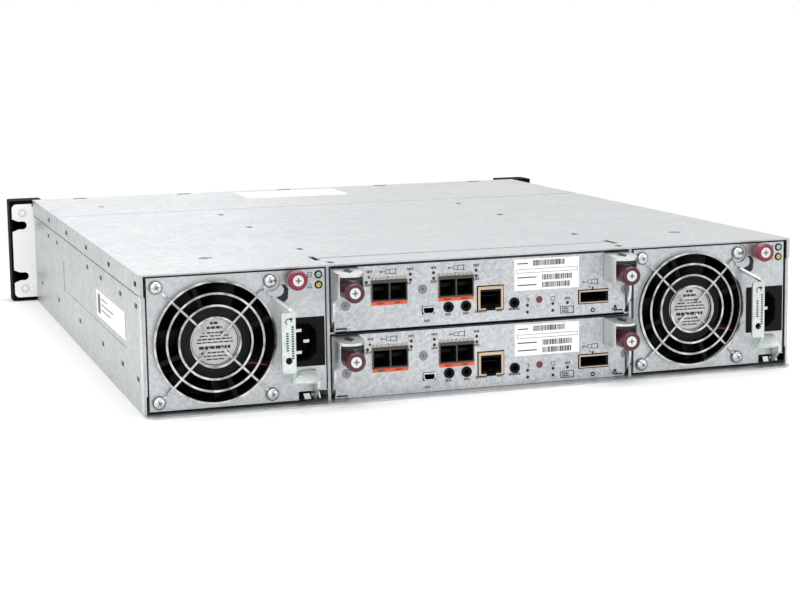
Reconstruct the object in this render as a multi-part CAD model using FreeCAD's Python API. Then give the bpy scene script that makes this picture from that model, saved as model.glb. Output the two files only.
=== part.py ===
import FreeCAD, Part
import math
import os

# Storage array, two rack units high. Z is up, the drives face -Y and the module side faces +Y.
# The origin is at the middle of the underside of the whole object. Seen from behind, +X is on the left.

V = FreeCAD.Vector
os.makedirs("parts", exist_ok=True)

# How far a cutter runs past the faces that it cuts
past = 1.0

# Chassis
chassis_width = 447.0
chassis_height = 88.0
chassis_depth = 510.0
tray_sheet = 1.2
cover_sheet = 1.0
cover_lip = 12.0
cover_split = 150.0
seam_gap = 0.8
rear_lip = 8.0
lip_chamfer = 5.0
hem_width = 0.8
hem_end_gap = 13.0
side_slot_length = 9.0
side_slot_height = 3.2
low_slot_z = 20.5
high_slot_drop = 8.5
low_slots_behind_ear = (38.0, 140.0, 252.0)
high_slots_behind_ear = (90.0, 140.0, 296.0)
slots_before_rear = (154.0, 76.0, 20.0)
lip_slot_first = 8.0
lip_slot_last = 15.0
lip_slot_count = 6
recess_start = 172.0
recess_end_gap = 60.0
recess_low = 33.0
recess_drop = 19.0
recess_deep = 0.5
runner_strip = 8.0
runner_end_gap = 28.0

# Openings in the covers
cover_groove_back = 33.0
cover_groove_wide = 4.0
cover_groove_deep = 0.4
cover_notch_length = 20.0
access_hole_radius = 4.5
access_hole_inset = 55.0
access_hole_back = 64.0
top_slot_width = 4.0
top_slot_length = 8.0
top_slot_across = 100.0
top_slots_behind_ear = (190.0, 284.0)
top_slots_before_rear = (84.0, 11.0)
front_slot_across = 177.5
front_slot_behind_ear = 86.0
front_notch_wide = 12.0
front_notch_deep = 8.0
front_notch_count = 5
front_notch_pitch = 91.5

# Rack ears and their caps
ear_reach = 17.8
ear_hole_inset = 8.75
rack_hole_pitch = 44.45
ear_sheet = 2.0
ear_end_gap = 3.5
ear_corner = 4.0
ear_step_wide = 5.0
ear_step_high = 2.5
ear_slot_width = 7.0
ear_slot_flare = 1.5
ear_leg_depth = 28.0
ear_rivet_radius = 3.0
ear_rivet_proud = 0.5
ear_rivet_from_end = 7.5
cap_overhang = 1.7
cap_depth = 24.0
cap_wall = 2.5
cap_corner = 5.0
cap_top_gap = 0.5
cap_bay_gap = 1.4

# Drive bays
bay_count = 24
loaded_bays = (0, 1, 2, 21, 22, 23)
cage_side_gap = 4.5
cage_side_sheet = 1.2
cage_front_gap = 0.3
cage_back_gap = 8.0
guide_sheet = 1.0
guide_rib = 3.0
guide_rib_width = 2.0
carrier_gap = 0.4
bezel_gap = 0.6
bezel_depth = 15.7
bezel_front_gap = 2.3
runner_side_gap = 1.4
runner_height = 4.6
drive_length = 100.4
latch_cheek = 2.6
latch_thick = 4.0
latch_low = 6.0
latch_top_gap = 11.0
latch_gap = 0.4
latch_pin_radius = 1.5
latch_dish_edge = 2.0
latch_dish_deep = 1.3
latch_dish_high = 11.0
blank_depth = 34.0
blank_wall = 1.4
blank_pocket_deep = 6.0
blank_pocket_end = 24.0

# Midplane
midplane_setback = 126.0
midplane_thick = 2.4
midplane_margin = 3.5
drive_socket_reach = 9.2
drive_socket_width = 7.0
drive_socket_height = 32.0
module_socket_reach = 12.0
module_socket_width = 60.0
controller_socket_low = 8.7
controller_socket_height = 10.0
power_socket_low = 8.0
power_socket_height = 12.0
window_count = 10
window_width = 26.0
window_height = 11.0
seat_gap = 0.3

# Power modules, measured from the lower left corner of the faceplate as seen from behind
power_bottom = 3.0
power_top_gap = 0.5
power_side_gap = 3.5
power_face_inset = 1.0
power_sheet = 1.0
bay_gap = 0.5
divider_sheet = 1.2
back_vent_count = 5
back_vent_width = 8.0
back_vent_pitch = 18.0
back_vent_edge = 8.0
back_vent_low = 29.5

# Fan, its guard and its screws
fan_fit = 1.5
fan_side_fit = 1.2
fan_floor_fit = 0.2
fan_rim = 1.75
fan_screw_inset = 4.25
fan_frame_depth = 25.0
fan_frame_corner = 3.0
fan_base_radius = 22.5
fan_base_thick = 4.0
fan_strut = 3.0
fan_strut_turn = 20.0
fan_strut_count = 4
rotor_hub_radius = 20.0
rotor_depth = 17.0
rotor_blades = 7
rotor_gap = 0.5
rotor_tip_gap = 2.25
rotor_root_sink = 4.0
blade_thick = 1.2
blade_pitch = 40.0
blade_chord = 21.0
blade_rise = 2.2
guard_wire = 1.3
guard_ring_count = 4
guard_ring_gap = 0.25
guard_ring_pitch = 7.5
guard_arm_inner = 5.0
guard_stand_off = 2.0
guard_bend_out = 4.0
screw_head_radius = 3.8
screw_head_thick = 2.2
screw_shank_radius = 2.0
screw_gap = 0.2
screw_bite = 6.0

# Mains inlet and lamps
inlet_edge_gap = 1.5
inlet_fan_gap = 3.1
inlet_up = 37.0
inlet_width = 27.2
inlet_height = 31.0
inlet_body_depth = 26.0
inlet_mouth_width = 16.5
inlet_mouth_height = 24.0
inlet_mouth_depth = 18.0
inlet_mouth_corner = 5.0
inlet_pin_width = 4.0
inlet_pin_thick = 2.0
inlet_pin_inset = 5.6
inlet_pin_rise = 7.0
inlet_pin_offset = 2.5
lamp_edge_gap = 4.7
lamp_top_gap = 4.3
lamp_pitch = 6.5
lamp_radius = 2.4
lamp_gap = 0.2
lamp_depth = 6.0
lamp_proud = 0.5

# Power circuit board and what stands on it
power_board_up = 9.5
power_board_margin = 6.0
power_board_front = 74.0
transformer_width = 40.0
transformer_length = 45.0
transformer_height = 38.0
capacitor_radius = 11.0
capacitor_height = 40.0
sink_sheet = 4.0
sink_length = 160.0
sink_height = 55.0
sink_edge = 12.0
filter_width = 62.0
filter_length = 30.0
filter_height = 24.0

# Power module lever, folded from one sheet
lever_sheet = 1.5
lever_face_gap = 0.4
lever_reach = 17.5
lever_plate_left = 2.0
lever_plate_margin = 6.0
lever_plate_top_gap = 0.5
lever_plate_corner = 3.0
lever_plate_tail = 8.0
lever_notch_gap = 2.7
fold_left = 1.5
fold_drop = 9.5
fold_flat = 4.5
fold_corner = 3.5
grip_from_screw = 6.85
grip_width = 9.0
grip_low = 21.0
grip_below_screw = 17.95
grip_corner = 2.0
grip_hole_radius = 2.2
grip_hole_up = 7.8
shelf_drop = 8.0
shelf_back = 7.0
shelf_rise = 6.5
shelf_face_gap = 1.0
lever_leg_width = 3.5
lever_leg_high = 6.0
lever_tab_width = 8.0
lever_pivot_up = 2.8
lever_pivot_inset = 1.5
lever_hub_radius = 2.2
lever_pin_radius = 1.3
lever_pin_length = 12.0
pin_gap = 0.3
pivot_ear_gap = 1.1
pivot_ear_depth = 7.0
outer_ear_width = 2.5
tab_inset = 11.0
notch_width = 19.0
notch_up = 5.5
notch_back = 14.0

# Thumbscrews
power_knob_edge_gap = 20.7
power_knob_top_gap = 6.0
power_knob_radius = 6.25
power_knob_reach = 12.0
knob_lever_gap = 0.6
knob_taper = 0.88
knob_edge = 1.0
knob_neck_radius = 2.5
knob_tip_radius = 1.75
knob_tip_reach = 3.0
knob_end_radius = 3.5
knob_end_sink = 0.4
knob_hole_gap = 0.5
knob_below_hood = 13.2
controller_knob_radius = 6.3
controller_knob_reach = 25.0
controller_knob_start = 5.0

# Controller modules, measured from the middle of the faceplate's lower edge
controller_bottom = 1.5
controller_top_gap = 0.9
shelf_gap = 0.3
shelf_sheet = 1.2
controller_side_gap = 1.4
controller_face_inset = 1.5
controller_sheet = 1.2
controller_floor = 1.0
controller_wall_drop = 9.4
controller_wall_corner = 2.0
corner_notch_wide = 8.0
corner_notch_high = 2.2
plate_edge_gap = 0.7
board_thick = 1.6
board_top = 7.7
board_margin = 4.0
post_width = 6.0
post_inset = 8.0
post_end_gap = 30.0

# Sockets on the controller face
port_gap = 0.2
port_proud = 0.6
host_width = 24.1
host_height = 13.7
host_depth = 42.0
host_wall = 1.0
host_mouth_width = 10.7
host_low = 17.6
host_inset = 36.65
host_pitch = 45.1
host_card_reach = 14.0
usb_inset = 62.8
usb_width = 8.4
usb_height = 4.9
usb_depth = 9.0
usb_wall = 0.8
jack_insets = (76.5, 88.5, 122.1)
jack_radius = 3.3
jack_bore_radius = 1.8
jack_depth = 14.0
jack_up = 11.2
network_inset = 105.35
network_width = 17.5
network_height = 15.3
network_depth = 21.0
network_wall = 1.6
network_step_wide = 6.4
network_step_high = 2.0
expansion_inset = 23.3
expansion_width = 20.8
expansion_height = 8.5
expansion_depth = 32.0
expansion_wall = 1.3
socket_back_wall = 4.0

# What stands on the controller board
mezzanine_depth = 80.0
mezzanine_margin = 2.0
mezzanine_post = 4.0
processor_sink = 60.0
processor_from_back = 150.0
processor_room_by_battery = 24.0
processor_room_by_edge = 56.7
bridge_sink = 40.0
bridge_from_back = 96.0
bridge_edge = 16.7
sink_base = 3.0
sink_fin = 1.2
sink_fin_pitch = 6.5
processor_sink_height = 22.0
bridge_sink_height = 18.0
memory_length = 133.0
memory_height = 26.0
memory_pitch = 10.0
memory_edge = 22.7
memory_from_back = 40.0
battery_width = 42.0
battery_length = 60.0
battery_height = 22.0
battery_edge = 10.7
battery_from_back = 183.0
chip_width = 24.0
chip_height = 2.0
chip_places = ((30.0, 228.0), (-10.0, 78.0), (20.0, 38.0), (-50.0, 258.0))

# Controller lever with its hood
hood_width = 17.9
hood_reach = 19.5
hood_bow = 6.5
hood_side_drop = 5.1
hood_top_gap = 0.6
hood_fall = 2.5
hood_lip = 5.6
arm_pivot_up = 5.3
arm_pivot_inset = 4.0
arm_hub_radius = 3.4
arm_pin_radius = 1.6
arm_hook = 6.0
arm_wide = 5.0

# Derived places
front_reach = cap_depth + ear_sheet
rear_reach = controller_knob_reach - controller_face_inset
ear_y = -(front_reach + chassis_depth + rear_reach) / 2 + front_reach
rear_y = ear_y + chassis_depth
half_width = chassis_width / 2
ear_edge = half_width + ear_reach
ear_hole_x = ear_edge - ear_hole_inset
wall_out = half_width - cover_sheet
wall_in = wall_out - tray_sheet
floor_top = tray_sheet
cover_under = chassis_height - cover_sheet
cover_edge = cover_under - cover_lip
lip_slot_z = cover_under - cover_lip / 2
high_slot_z = cover_edge - high_slot_drop
recess_high = cover_edge - recess_drop
midplane_front = ear_y + midplane_setback
midplane_back = midplane_front + midplane_thick
module_front = midplane_back + module_socket_reach + seat_gap
power_face = rear_y - power_face_inset
power_depth = power_face - module_front
power_height = cover_under - power_bottom - power_top_gap
fan_frame_size = power_height - 2 * power_sheet - fan_fit
fan_far_side = power_sheet + fan_side_fit + fan_frame_size
power_width = fan_far_side + inlet_fan_gap + inlet_width + inlet_edge_gap
power_outer = half_width - power_side_gap
power_inner = power_outer - power_width
divider_outer = power_inner - bay_gap
divider_inner = divider_outer - divider_sheet
controller_half = divider_inner - controller_side_gap
controller_face = rear_y - controller_face_inset
controller_depth = controller_face - module_front
controller_room = cover_under - controller_top_gap - controller_bottom
controller_height = (controller_room - shelf_sheet) / 2 - shelf_gap
faceplate_half = controller_half - lever_sheet - plate_edge_gap
shelf_bottom = controller_bottom + controller_height + shelf_gap
upper_bottom = shelf_bottom + shelf_sheet + shelf_gap
bays_half = wall_in - ear_sheet - cage_side_gap - cage_side_sheet
bay_pitch = 2 * bays_half / bay_count
guide_low = floor_top + guide_sheet
guide_high = cover_under - guide_sheet
carrier_low = guide_low + carrier_gap
carrier_high = guide_high - carrier_gap
bezel_half = (bay_pitch - bezel_gap) / 2
runner_half = bezel_half - runner_side_gap
latch_half = bezel_half - latch_cheek
bezel_back = ear_y - bezel_front_gap
bezel_front = bezel_back - bezel_depth
carrier_back = midplane_front - drive_socket_reach - seat_gap
drive_middle_z = (carrier_low + carrier_high) / 2
latch_length = carrier_high - carrier_low - latch_low - latch_top_gap
latch_y = bezel_front + latch_gap + latch_thick / 2
latch_z = carrier_low + latch_low + latch_thick / 2
fan_across = fan_far_side - fan_frame_size / 2
fan_up = power_sheet + fan_floor_fit + fan_frame_size / 2
fan_opening_radius = fan_frame_size / 2 - fan_rim
fan_screw_pitch = fan_frame_size - 2 * fan_screw_inset
rotor_blade_radius = fan_opening_radius - rotor_tip_gap
inlet_across = power_width - inlet_edge_gap - inlet_width / 2
lamp_across = power_width - lamp_edge_gap
lamp_ups = (power_height - lamp_top_gap - lamp_pitch, power_height - lamp_top_gap)
power_knob_across = power_width - power_knob_edge_gap
power_knob_up = power_height - power_knob_top_gap
notch_left = power_width - notch_width
fan_screw_right = fan_across + fan_screw_pitch / 2
fan_screw_up = fan_up + fan_screw_pitch / 2
grip_high = fan_screw_up - grip_below_screw
grip_across = fan_screw_right + grip_from_screw
host_places = (faceplate_half - host_inset, faceplate_half - host_inset - host_pitch)
usb_place = faceplate_half - usb_inset
jack_places = [faceplate_half - inset for inset in jack_insets]
network_place = faceplate_half - network_inset
expansion_place = expansion_inset - faceplate_half
hood_top = controller_height - hood_top_gap
controller_knob_up = hood_top - knob_below_hood
hood_low = controller_knob_up - hood_side_drop
controller_knob_place = controller_half - hood_width / 2


def box(x0, x1, y0, y1, z0, z1):
    return Part.makeBox(x1 - x0, y1 - y0, z1 - z0, V(x0, y0, z0))


def side_box(side, inner, outer, y0, y1, z0, z1):
    """A box between two distances from the middle plane, on the side +1 or -1."""
    return box(min(side * inner, side * outer), max(side * inner, side * outer), y0, y1, z0, z1)


def middle_box(x, width, y0, y1, z0, height):
    """A box that is centred in X and stands on z0."""
    return box(x - width / 2, x + width / 2, y0, y1, z0, z0 + height)


def rod(radius, start, run):
    """A round bar from a point along a run."""
    return Part.makeCylinder(radius, run.Length, start, run)


def closed_wire(corners, place):
    """A closed outline through corners (a, b) or (a, b, radius), put in space by place."""
    starts = []
    middles = []
    ends = []
    count = len(corners)
    for i in range(count):
        here = V(corners[i][0], corners[i][1], 0)
        radius = corners[i][2] if len(corners[i]) > 2 else 0
        if radius == 0:
            starts.append(here)
            middles.append(None)
            ends.append(here)
            continue
        to_before = (V(corners[i - 1][0], corners[i - 1][1], 0) - here).normalize()
        after = corners[(i + 1) % count]
        to_after = (V(after[0], after[1], 0) - here).normalize()
        half_angle = to_before.getAngle(to_after) / 2
        run = radius / math.tan(half_angle)
        inward = (to_before + to_after).normalize()
        starts.append(here + to_before * run)
        middles.append(here + inward * (radius / math.sin(half_angle) - radius))
        ends.append(here + to_after * run)
    edges = []
    for i in range(count):
        if middles[i] is not None:
            arc = Part.Arc(place(starts[i]), place(middles[i]), place(ends[i]))
            edges.append(arc.toShape())
        following = starts[(i + 1) % count]
        if (following - ends[i]).Length > 1e-6:
            edges.append(Part.LineSegment(place(ends[i]), place(following)).toShape())
    return Part.Wire(edges)


def plate_xz(corners, y0, y1):
    wire = closed_wire(corners, lambda q: V(q.x, y0, q.y))
    return Part.Face(wire).extrude(V(0, y1 - y0, 0))


def plate_yz(corners, x0, x1):
    wire = closed_wire(corners, lambda q: V(x0, q.x, q.y))
    return Part.Face(wire).extrude(V(x1 - x0, 0, 0))


def plate_xy(corners, z0, z1):
    wire = closed_wire(corners, lambda q: V(q.x, q.y, z0))
    return Part.Face(wire).extrude(V(0, 0, z1 - z0))


def joined(shapes):
    whole = shapes[0]
    if len(shapes) > 1:
        whole = whole.fuse(shapes[1:])
    return whole.removeSplitter()


def without(shape, cutters):
    return shape.cut(cutters)


def mirrored(shape):
    return shape.mirror(V(0, 0, 0), V(1, 0, 0))


def moved(shape, x, y, z):
    copy = shape.copy()
    copy.translate(V(x, y, z))
    return copy


def save(name, shapes):
    """Write one node. Several shapes stay separate solids of one node."""
    solids = []
    for shape in shapes:
        solids += shape.Solids
    out = solids[0] if len(solids) == 1 else Part.makeCompound(solids)
    out.exportStep("parts/" + name + ".step")


# Chassis tray, covers and dividers

def side_slot(middle_y, middle_z):
    """A slot cutter through both side walls."""
    return box(-half_width - past, half_width + past,
               middle_y - side_slot_length / 2, middle_y + side_slot_length / 2,
               middle_z - side_slot_height / 2, middle_z + side_slot_height / 2)


def chassis_tray():
    lip_end = rear_y + rear_lip
    floor = plate_xy([(-wall_out, ear_y), (wall_out, ear_y), (wall_out, lip_end - lip_chamfer),
                      (wall_out - lip_chamfer, lip_end), (lip_chamfer - wall_out, lip_end),
                      (-wall_out, lip_end - lip_chamfer)], 0, floor_top)
    pieces = [floor]
    for side in (-1, 1):
        pieces.append(side_box(side, wall_in, wall_out, ear_y, rear_y, 0, cover_under))
        pieces.append(side_box(side, wall_in - hem_width, wall_out, rear_y - tray_sheet, rear_y,
                               hem_end_gap, cover_under - hem_end_gap))
        for start in (power_inner + bay_gap, power_outer - runner_strip - bay_gap):
            pieces.append(side_box(side, start, start + runner_strip, module_front,
                                   power_face - runner_end_gap, floor_top, power_bottom - seat_gap))
    tray = joined(pieces)
    cutters = [side_slot(ear_y + y, low_slot_z) for y in low_slots_behind_ear]
    cutters += [side_slot(ear_y + y, high_slot_z) for y in high_slots_behind_ear]
    for y in slots_before_rear:
        cutters += [side_slot(rear_y - y, low_slot_z), side_slot(rear_y - y, high_slot_z)]
    for side in (-1, 1):
        cutters.append(side_box(side, wall_out - recess_deep, wall_out + past, ear_y + recess_start,
                                rear_y - recess_end_gap, recess_low, recess_high))
    return without(tray, cutters)


def cover_shell(front, back):
    """A flat cover with a slotted lip down each side."""
    pieces = [box(-half_width, half_width, front, back, cover_under, chassis_height)]
    for side in (-1, 1):
        pieces.append(side_box(side, wall_out, half_width, front, back, cover_edge, cover_under))
    pitch = (chassis_depth - lip_slot_first - lip_slot_last) / (lip_slot_count - 1)
    slots = []
    for i in range(lip_slot_count):
        y = ear_y + lip_slot_first + i * pitch
        if front < y - side_slot_length and y + side_slot_length < back:
            slots.append(side_slot(y, lip_slot_z))
    return without(joined(pieces), slots)


def top_slot(x, y):
    """A cutter for one small slot through a cover."""
    return box(x - top_slot_width / 2, x + top_slot_width / 2, y - top_slot_length / 2,
               y + top_slot_length / 2, cover_under - past, chassis_height + past)


def top_cover():
    front = ear_y + cover_split + seam_gap
    groove_y = rear_y - cover_groove_back
    half_groove = cover_groove_wide / 2
    cutters = [box(-divider_outer, divider_outer, groove_y - half_groove, groove_y + half_groove,
                   chassis_height - cover_groove_deep, chassis_height + past)]
    for side in (-1, 1):
        hole = V(side * (half_width - access_hole_inset), rear_y - access_hole_back, cover_under - past)
        cutters.append(rod(access_hole_radius, hole, V(0, 0, cover_sheet + 2 * past)))
        cutters.append(side_box(side, divider_inner - half_groove, divider_inner + half_groove,
                                groove_y - cover_notch_length / 2, groove_y + cover_notch_length / 2,
                                cover_under - past, chassis_height + past))
        cutters += [top_slot(side * top_slot_across, ear_y + y) for y in top_slots_behind_ear]
        cutters += [top_slot(side * top_slot_across, rear_y - y) for y in top_slots_before_rear]
    return without(cover_shell(front, rear_y), cutters)


def drive_bay_cover():
    first = -(front_notch_count - 1) * front_notch_pitch / 2
    cutters = [top_slot(front_slot_across, ear_y + front_slot_behind_ear)]
    for i in range(front_notch_count):
        cutters.append(middle_box(first + i * front_notch_pitch, front_notch_wide, ear_y - past,
                                  ear_y + front_notch_deep, cover_under - past, cover_sheet + 2 * past))
    return without(cover_shell(ear_y, ear_y + cover_split), cutters)


def bay_dividers():
    """The two walls between the modules and the shelf between the controllers."""
    end = rear_y - power_face_inset - power_sheet
    pieces = []
    for side in (-1, 1):
        wall = side_box(side, divider_inner, divider_outer, module_front, end, floor_top, cover_under)
        edge = side_box(side, divider_inner - controller_side_gap / 2, divider_outer,
                        end - divider_sheet, end, floor_top, cover_under)
        pieces.append(joined([wall, edge]))
    shelf = box(-divider_inner, divider_inner, module_front, end - divider_sheet, shelf_bottom,
                shelf_bottom + shelf_sheet)
    return pieces + [shelf]


# Rack ears and caps, made for +X and mirrored

def rack_ear():
    edge = ear_edge
    inner = wall_in - ear_sheet
    low = ear_end_gap
    high = chassis_height - ear_end_gap
    flange = plate_xz([(inner, low), (edge, low, ear_corner), (edge, high, ear_corner),
                       (inner + ear_step_wide, high), (inner + ear_step_wide, high - ear_step_high),
                       (inner, high - ear_step_high)], ear_y - ear_sheet, ear_y)
    leg = box(inner, wall_in, ear_y - ear_sheet, ear_y + ear_leg_depth, low, high - ear_step_high)
    cutters = []
    centre = ear_hole_x
    radius = ear_slot_width / 2
    flare = radius + ear_slot_flare
    for place in (-1, 1):
        middle = chassis_height / 2 + place * rack_hole_pitch / 2
        cutters.append(rod(radius, V(centre, ear_y - ear_sheet - past, middle),
                           V(0, ear_sheet + 2 * past, 0)))
        cutters.append(plate_xz([(centre, middle - radius), (edge - flare, middle - radius),
                                 (edge + past, middle - flare - past), (edge + past, middle + flare + past),
                                 (edge - flare, middle + radius), (centre, middle + radius)],
                                ear_y - ear_sheet - past, ear_y + past))
    rivets = []
    for up in (low + ear_rivet_from_end, high - ear_rivet_from_end):
        rivets.append(rod(ear_rivet_radius, V(centre, ear_y - ear_sheet / 2, up),
                          V(0, ear_sheet / 2 + ear_rivet_proud, 0)))
    return joined([without(joined([flange, leg]), cutters)] + rivets)


def ear_cap():
    inner = bays_half + cap_bay_gap
    outer = ear_edge + cap_overhang
    back = ear_y - ear_sheet
    front = back - cap_depth
    low = cap_top_gap
    high = chassis_height - cap_top_gap
    body = plate_xy([(inner, back), (inner, front), (outer, front, cap_corner), (outer, back)],
                    low, high)
    hollow = box(inner + cap_wall, outer - cap_wall, front + cap_wall, back + past,
                 low + cap_wall, high - cap_wall)
    return without(body, [hollow])


# Drive cage, drives and blanks

def bay_middle(i):
    return (i + 0.5) * bay_pitch - bays_half


def drive_cage():
    """An open frame with a pair of guide ribs between each two bays."""
    front = bezel_back + cage_front_gap
    back = midplane_front - cage_back_gap
    side = bays_half + cage_side_sheet
    outer = box(-side, side, front, back, floor_top, cover_under)
    inner = box(-bays_half, bays_half, front - past, back + past, guide_low, guide_high)
    pieces = [without(outer, [inner])]
    for i in range(1, bay_count):
        x = i * bay_pitch - bays_half
        pieces.append(middle_box(x, guide_rib_width, front, back, guide_low, guide_rib))
        pieces.append(middle_box(x, guide_rib_width, front, back, guide_high - guide_rib, guide_rib))
    return joined(pieces)


def drive_carrier(middle):
    """A bezel with two runners, and the drive held between them."""
    height = carrier_high - carrier_low
    bezel = middle_box(middle, 2 * bezel_half, bezel_front, bezel_back, carrier_low, height)
    pocket = middle_box(middle, 2 * (latch_half + latch_gap), bezel_front - past,
                        bezel_front + latch_thick + 2 * latch_gap, carrier_low + latch_low - latch_gap,
                        latch_length + 2 * latch_gap)
    bore = rod(latch_pin_radius + pin_gap, V(middle - bezel_half - past, latch_y, latch_z),
               V(2 * (bezel_half + past), 0, 0))
    lower = middle_box(middle, 2 * runner_half, bezel_back, carrier_back, carrier_low, runner_height)
    upper = middle_box(middle, 2 * runner_half, bezel_back, carrier_back,
                       carrier_high - runner_height, runner_height)
    drive = middle_box(middle, 2 * runner_half, carrier_back - drive_length, carrier_back,
                       carrier_low + runner_height, height - 2 * runner_height)
    return [without(joined([bezel, lower, upper]), [pocket, bore]), drive]


def drive_latch(middle):
    """A lever hinged at its foot, with a pin through the bezel's cheeks."""
    back = latch_y + latch_thick / 2
    front = back - latch_thick
    low = carrier_low + latch_low
    top = low + latch_length
    bar = plate_yz([(front, low, latch_thick / 3), (back, low, latch_thick / 3), (back, top), (front, top)],
                   middle - latch_half, middle + latch_half)
    dish = middle_box(middle, 2 * (latch_half - latch_dish_edge), front - past, front + latch_dish_deep,
                      top - latch_dish_edge - latch_dish_high, latch_dish_high)
    pin = rod(latch_pin_radius, V(middle - bezel_half, latch_y, latch_z), V(2 * bezel_half, 0, 0))
    return joined([without(bar, [dish]), pin])


def drive_blank(middle):
    """An empty-bay filler: a front box open at the back, with a finger pocket."""
    height = carrier_high - carrier_low
    back = bezel_front + blank_depth
    front = middle_box(middle, 2 * bezel_half, bezel_front, bezel_back, carrier_low, height)
    tail = middle_box(middle, 2 * runner_half, bezel_back, back, carrier_low, height)
    hollow = middle_box(middle, 2 * (runner_half - blank_wall), bezel_front + blank_pocket_deep + blank_wall,
                        back + past, carrier_low + blank_wall, height - 2 * blank_wall)
    pocket = middle_box(middle, 2 * (bezel_half - 2 * blank_wall), bezel_front - past,
                        bezel_front + blank_pocket_deep, carrier_low + blank_pocket_end,
                        height - 2 * blank_pocket_end)
    return without(joined([front, tail]), [hollow, pocket])


# Midplane

def controller_socket(side, front, back, wider):
    """The block of a controller's plug or of its mate, on one side of the module's middle."""
    return middle_box(side * controller_half / 2, module_socket_width + 2 * wider, front, back,
                      controller_socket_low - wider, controller_socket_height + 2 * wider)


def power_socket(front, back, wider):
    return middle_box(-power_width / 2, module_socket_width + 2 * wider, front, back,
                      power_socket_low - wider, power_socket_height + 2 * wider)


def midplane_board():
    side = wall_in - midplane_margin
    low = floor_top + midplane_margin / 2
    high = cover_under - midplane_margin / 2
    board = box(-side, side, midplane_front, midplane_back, low, high)
    cutters = []
    pitch = 2 * side / window_count
    for i in range(window_count):
        middle = (i + 0.5) * pitch - side
        for up in (low + window_height, high - 2 * window_height):
            cutters.append(middle_box(middle, window_width, midplane_front - past, midplane_back + past,
                                      up, window_height))
    solids = [without(board, cutters)]
    for i in range(bay_count):
        solids.append(middle_box(bay_middle(i), drive_socket_width, midplane_front - drive_socket_reach,
                                 midplane_front, drive_middle_z - drive_socket_height / 2,
                                 drive_socket_height))
    socket_back = midplane_back + module_socket_reach
    for bottom in (controller_bottom, upper_bottom):
        for side in (-1, 1):
            solids.append(moved(controller_socket(side, midplane_back, socket_back, 0), 0, 0, bottom))
    for left in (power_outer, -power_inner):
        solids.append(moved(power_socket(midplane_back, socket_back, 0), left, 0, power_bottom))
    return solids


# Power module. Places across run to the right as seen from behind, so they are negative in X.

def through_face(radius, x, z):
    """A round cutter through the power module's face."""
    return rod(radius, V(x, -power_sheet - past, z), V(0, power_sheet + 2 * past, 0))


def guard_corners():
    half = fan_screw_pitch / 2
    return [(-fan_across + i * half, fan_up + j * half) for i in (-1, 1) for j in (-1, 1)]


def power_case():
    back = -power_depth
    shell = box(-power_width, 0, back, 0, 0, power_height)
    room = box(power_sheet - power_width, -power_sheet, back + power_sheet, -power_sheet,
               power_sheet, power_height - power_sheet)
    cutters = [room, through_face(fan_opening_radius, -fan_across, fan_up)]
    cutters.append(middle_box(-inlet_across, inlet_width + 2 * port_gap, -power_sheet - past, past,
                              inlet_up - inlet_height / 2 - port_gap, inlet_height + 2 * port_gap))
    for up in lamp_ups:
        cutters.append(through_face(lamp_radius + lamp_gap, -lamp_across, up))
    cutters.append(through_face(knob_tip_radius + knob_hole_gap, -power_knob_across, power_knob_up))
    for x, z in guard_corners():
        cutters.append(through_face(screw_shank_radius + screw_gap, x, z))
    cutters.append(power_socket(back - past, back + power_sheet + past, past))
    for i in range(back_vent_count):
        x = -power_width / 2 + (i - (back_vent_count - 1) / 2) * back_vent_pitch
        cutters.append(middle_box(x, back_vent_width, back - past, back + power_sheet + past,
                                  back_vent_low, power_height - back_vent_edge - back_vent_low))
    notch = box(-power_width - past, -notch_left, -notch_back, past, -past, notch_up)
    lining = box(-power_width, power_sheet - notch_left, -notch_back - power_sheet, 0, 0,
                 notch_up + power_sheet)
    shell = without(joined([without(shell, cutters), lining]), [notch])
    return joined([shell] + pivot_ears())


def pivot_ears():
    """Two bored ears in the notch, one on each side of the lever's tab."""
    inner_end = notch_left + tab_inset - lever_sheet - pivot_ear_gap
    outer_start = notch_left + tab_inset + pivot_ear_gap
    bore = rod(lever_pin_radius + pin_gap, V(-power_width - past, -lever_pivot_inset, lever_pivot_up),
               V(notch_width + past - power_sheet / 2, 0, 0))
    ears = []
    for first, last in ((notch_left, inner_end), (outer_start, outer_start + outer_ear_width)):
        ears.append(box(-last, -first, -pivot_ear_depth, -pin_gap, pin_gap, notch_up).cut(bore))
    return ears


def fan_frame():
    """The square fan housing with the motor base and its struts facing out."""
    half = fan_frame_size / 2
    front = -power_sheet
    back = front - fan_frame_depth
    body = plate_xz([(-half, -half, fan_frame_corner), (half, -half, fan_frame_corner),
                     (half, half, fan_frame_corner), (-half, half, fan_frame_corner)], back, front)
    bore = rod(fan_opening_radius, V(0, back - past, 0), V(0, fan_frame_depth + 2 * past, 0))
    pieces = [without(body, [bore]), rod(fan_base_radius, V(0, front, 0), V(0, -fan_base_thick, 0))]
    for i in range(fan_strut_count):
        strut = box(0, fan_opening_radius + fan_rim / 2, front - fan_strut, front,
                    -fan_strut / 2, fan_strut / 2)
        strut.rotate(V(0, 0, 0), V(0, 1, 0), fan_strut_turn + 360 * i / fan_strut_count)
        pieces.append(strut)
    frame = moved(joined(pieces), -fan_across, 0, fan_up)
    holes = [rod(screw_shank_radius + screw_gap, V(x, front + past, z), V(0, -screw_bite - 2 * past, 0))
             for x, z in guard_corners()]
    return without(frame, holes)


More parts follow.
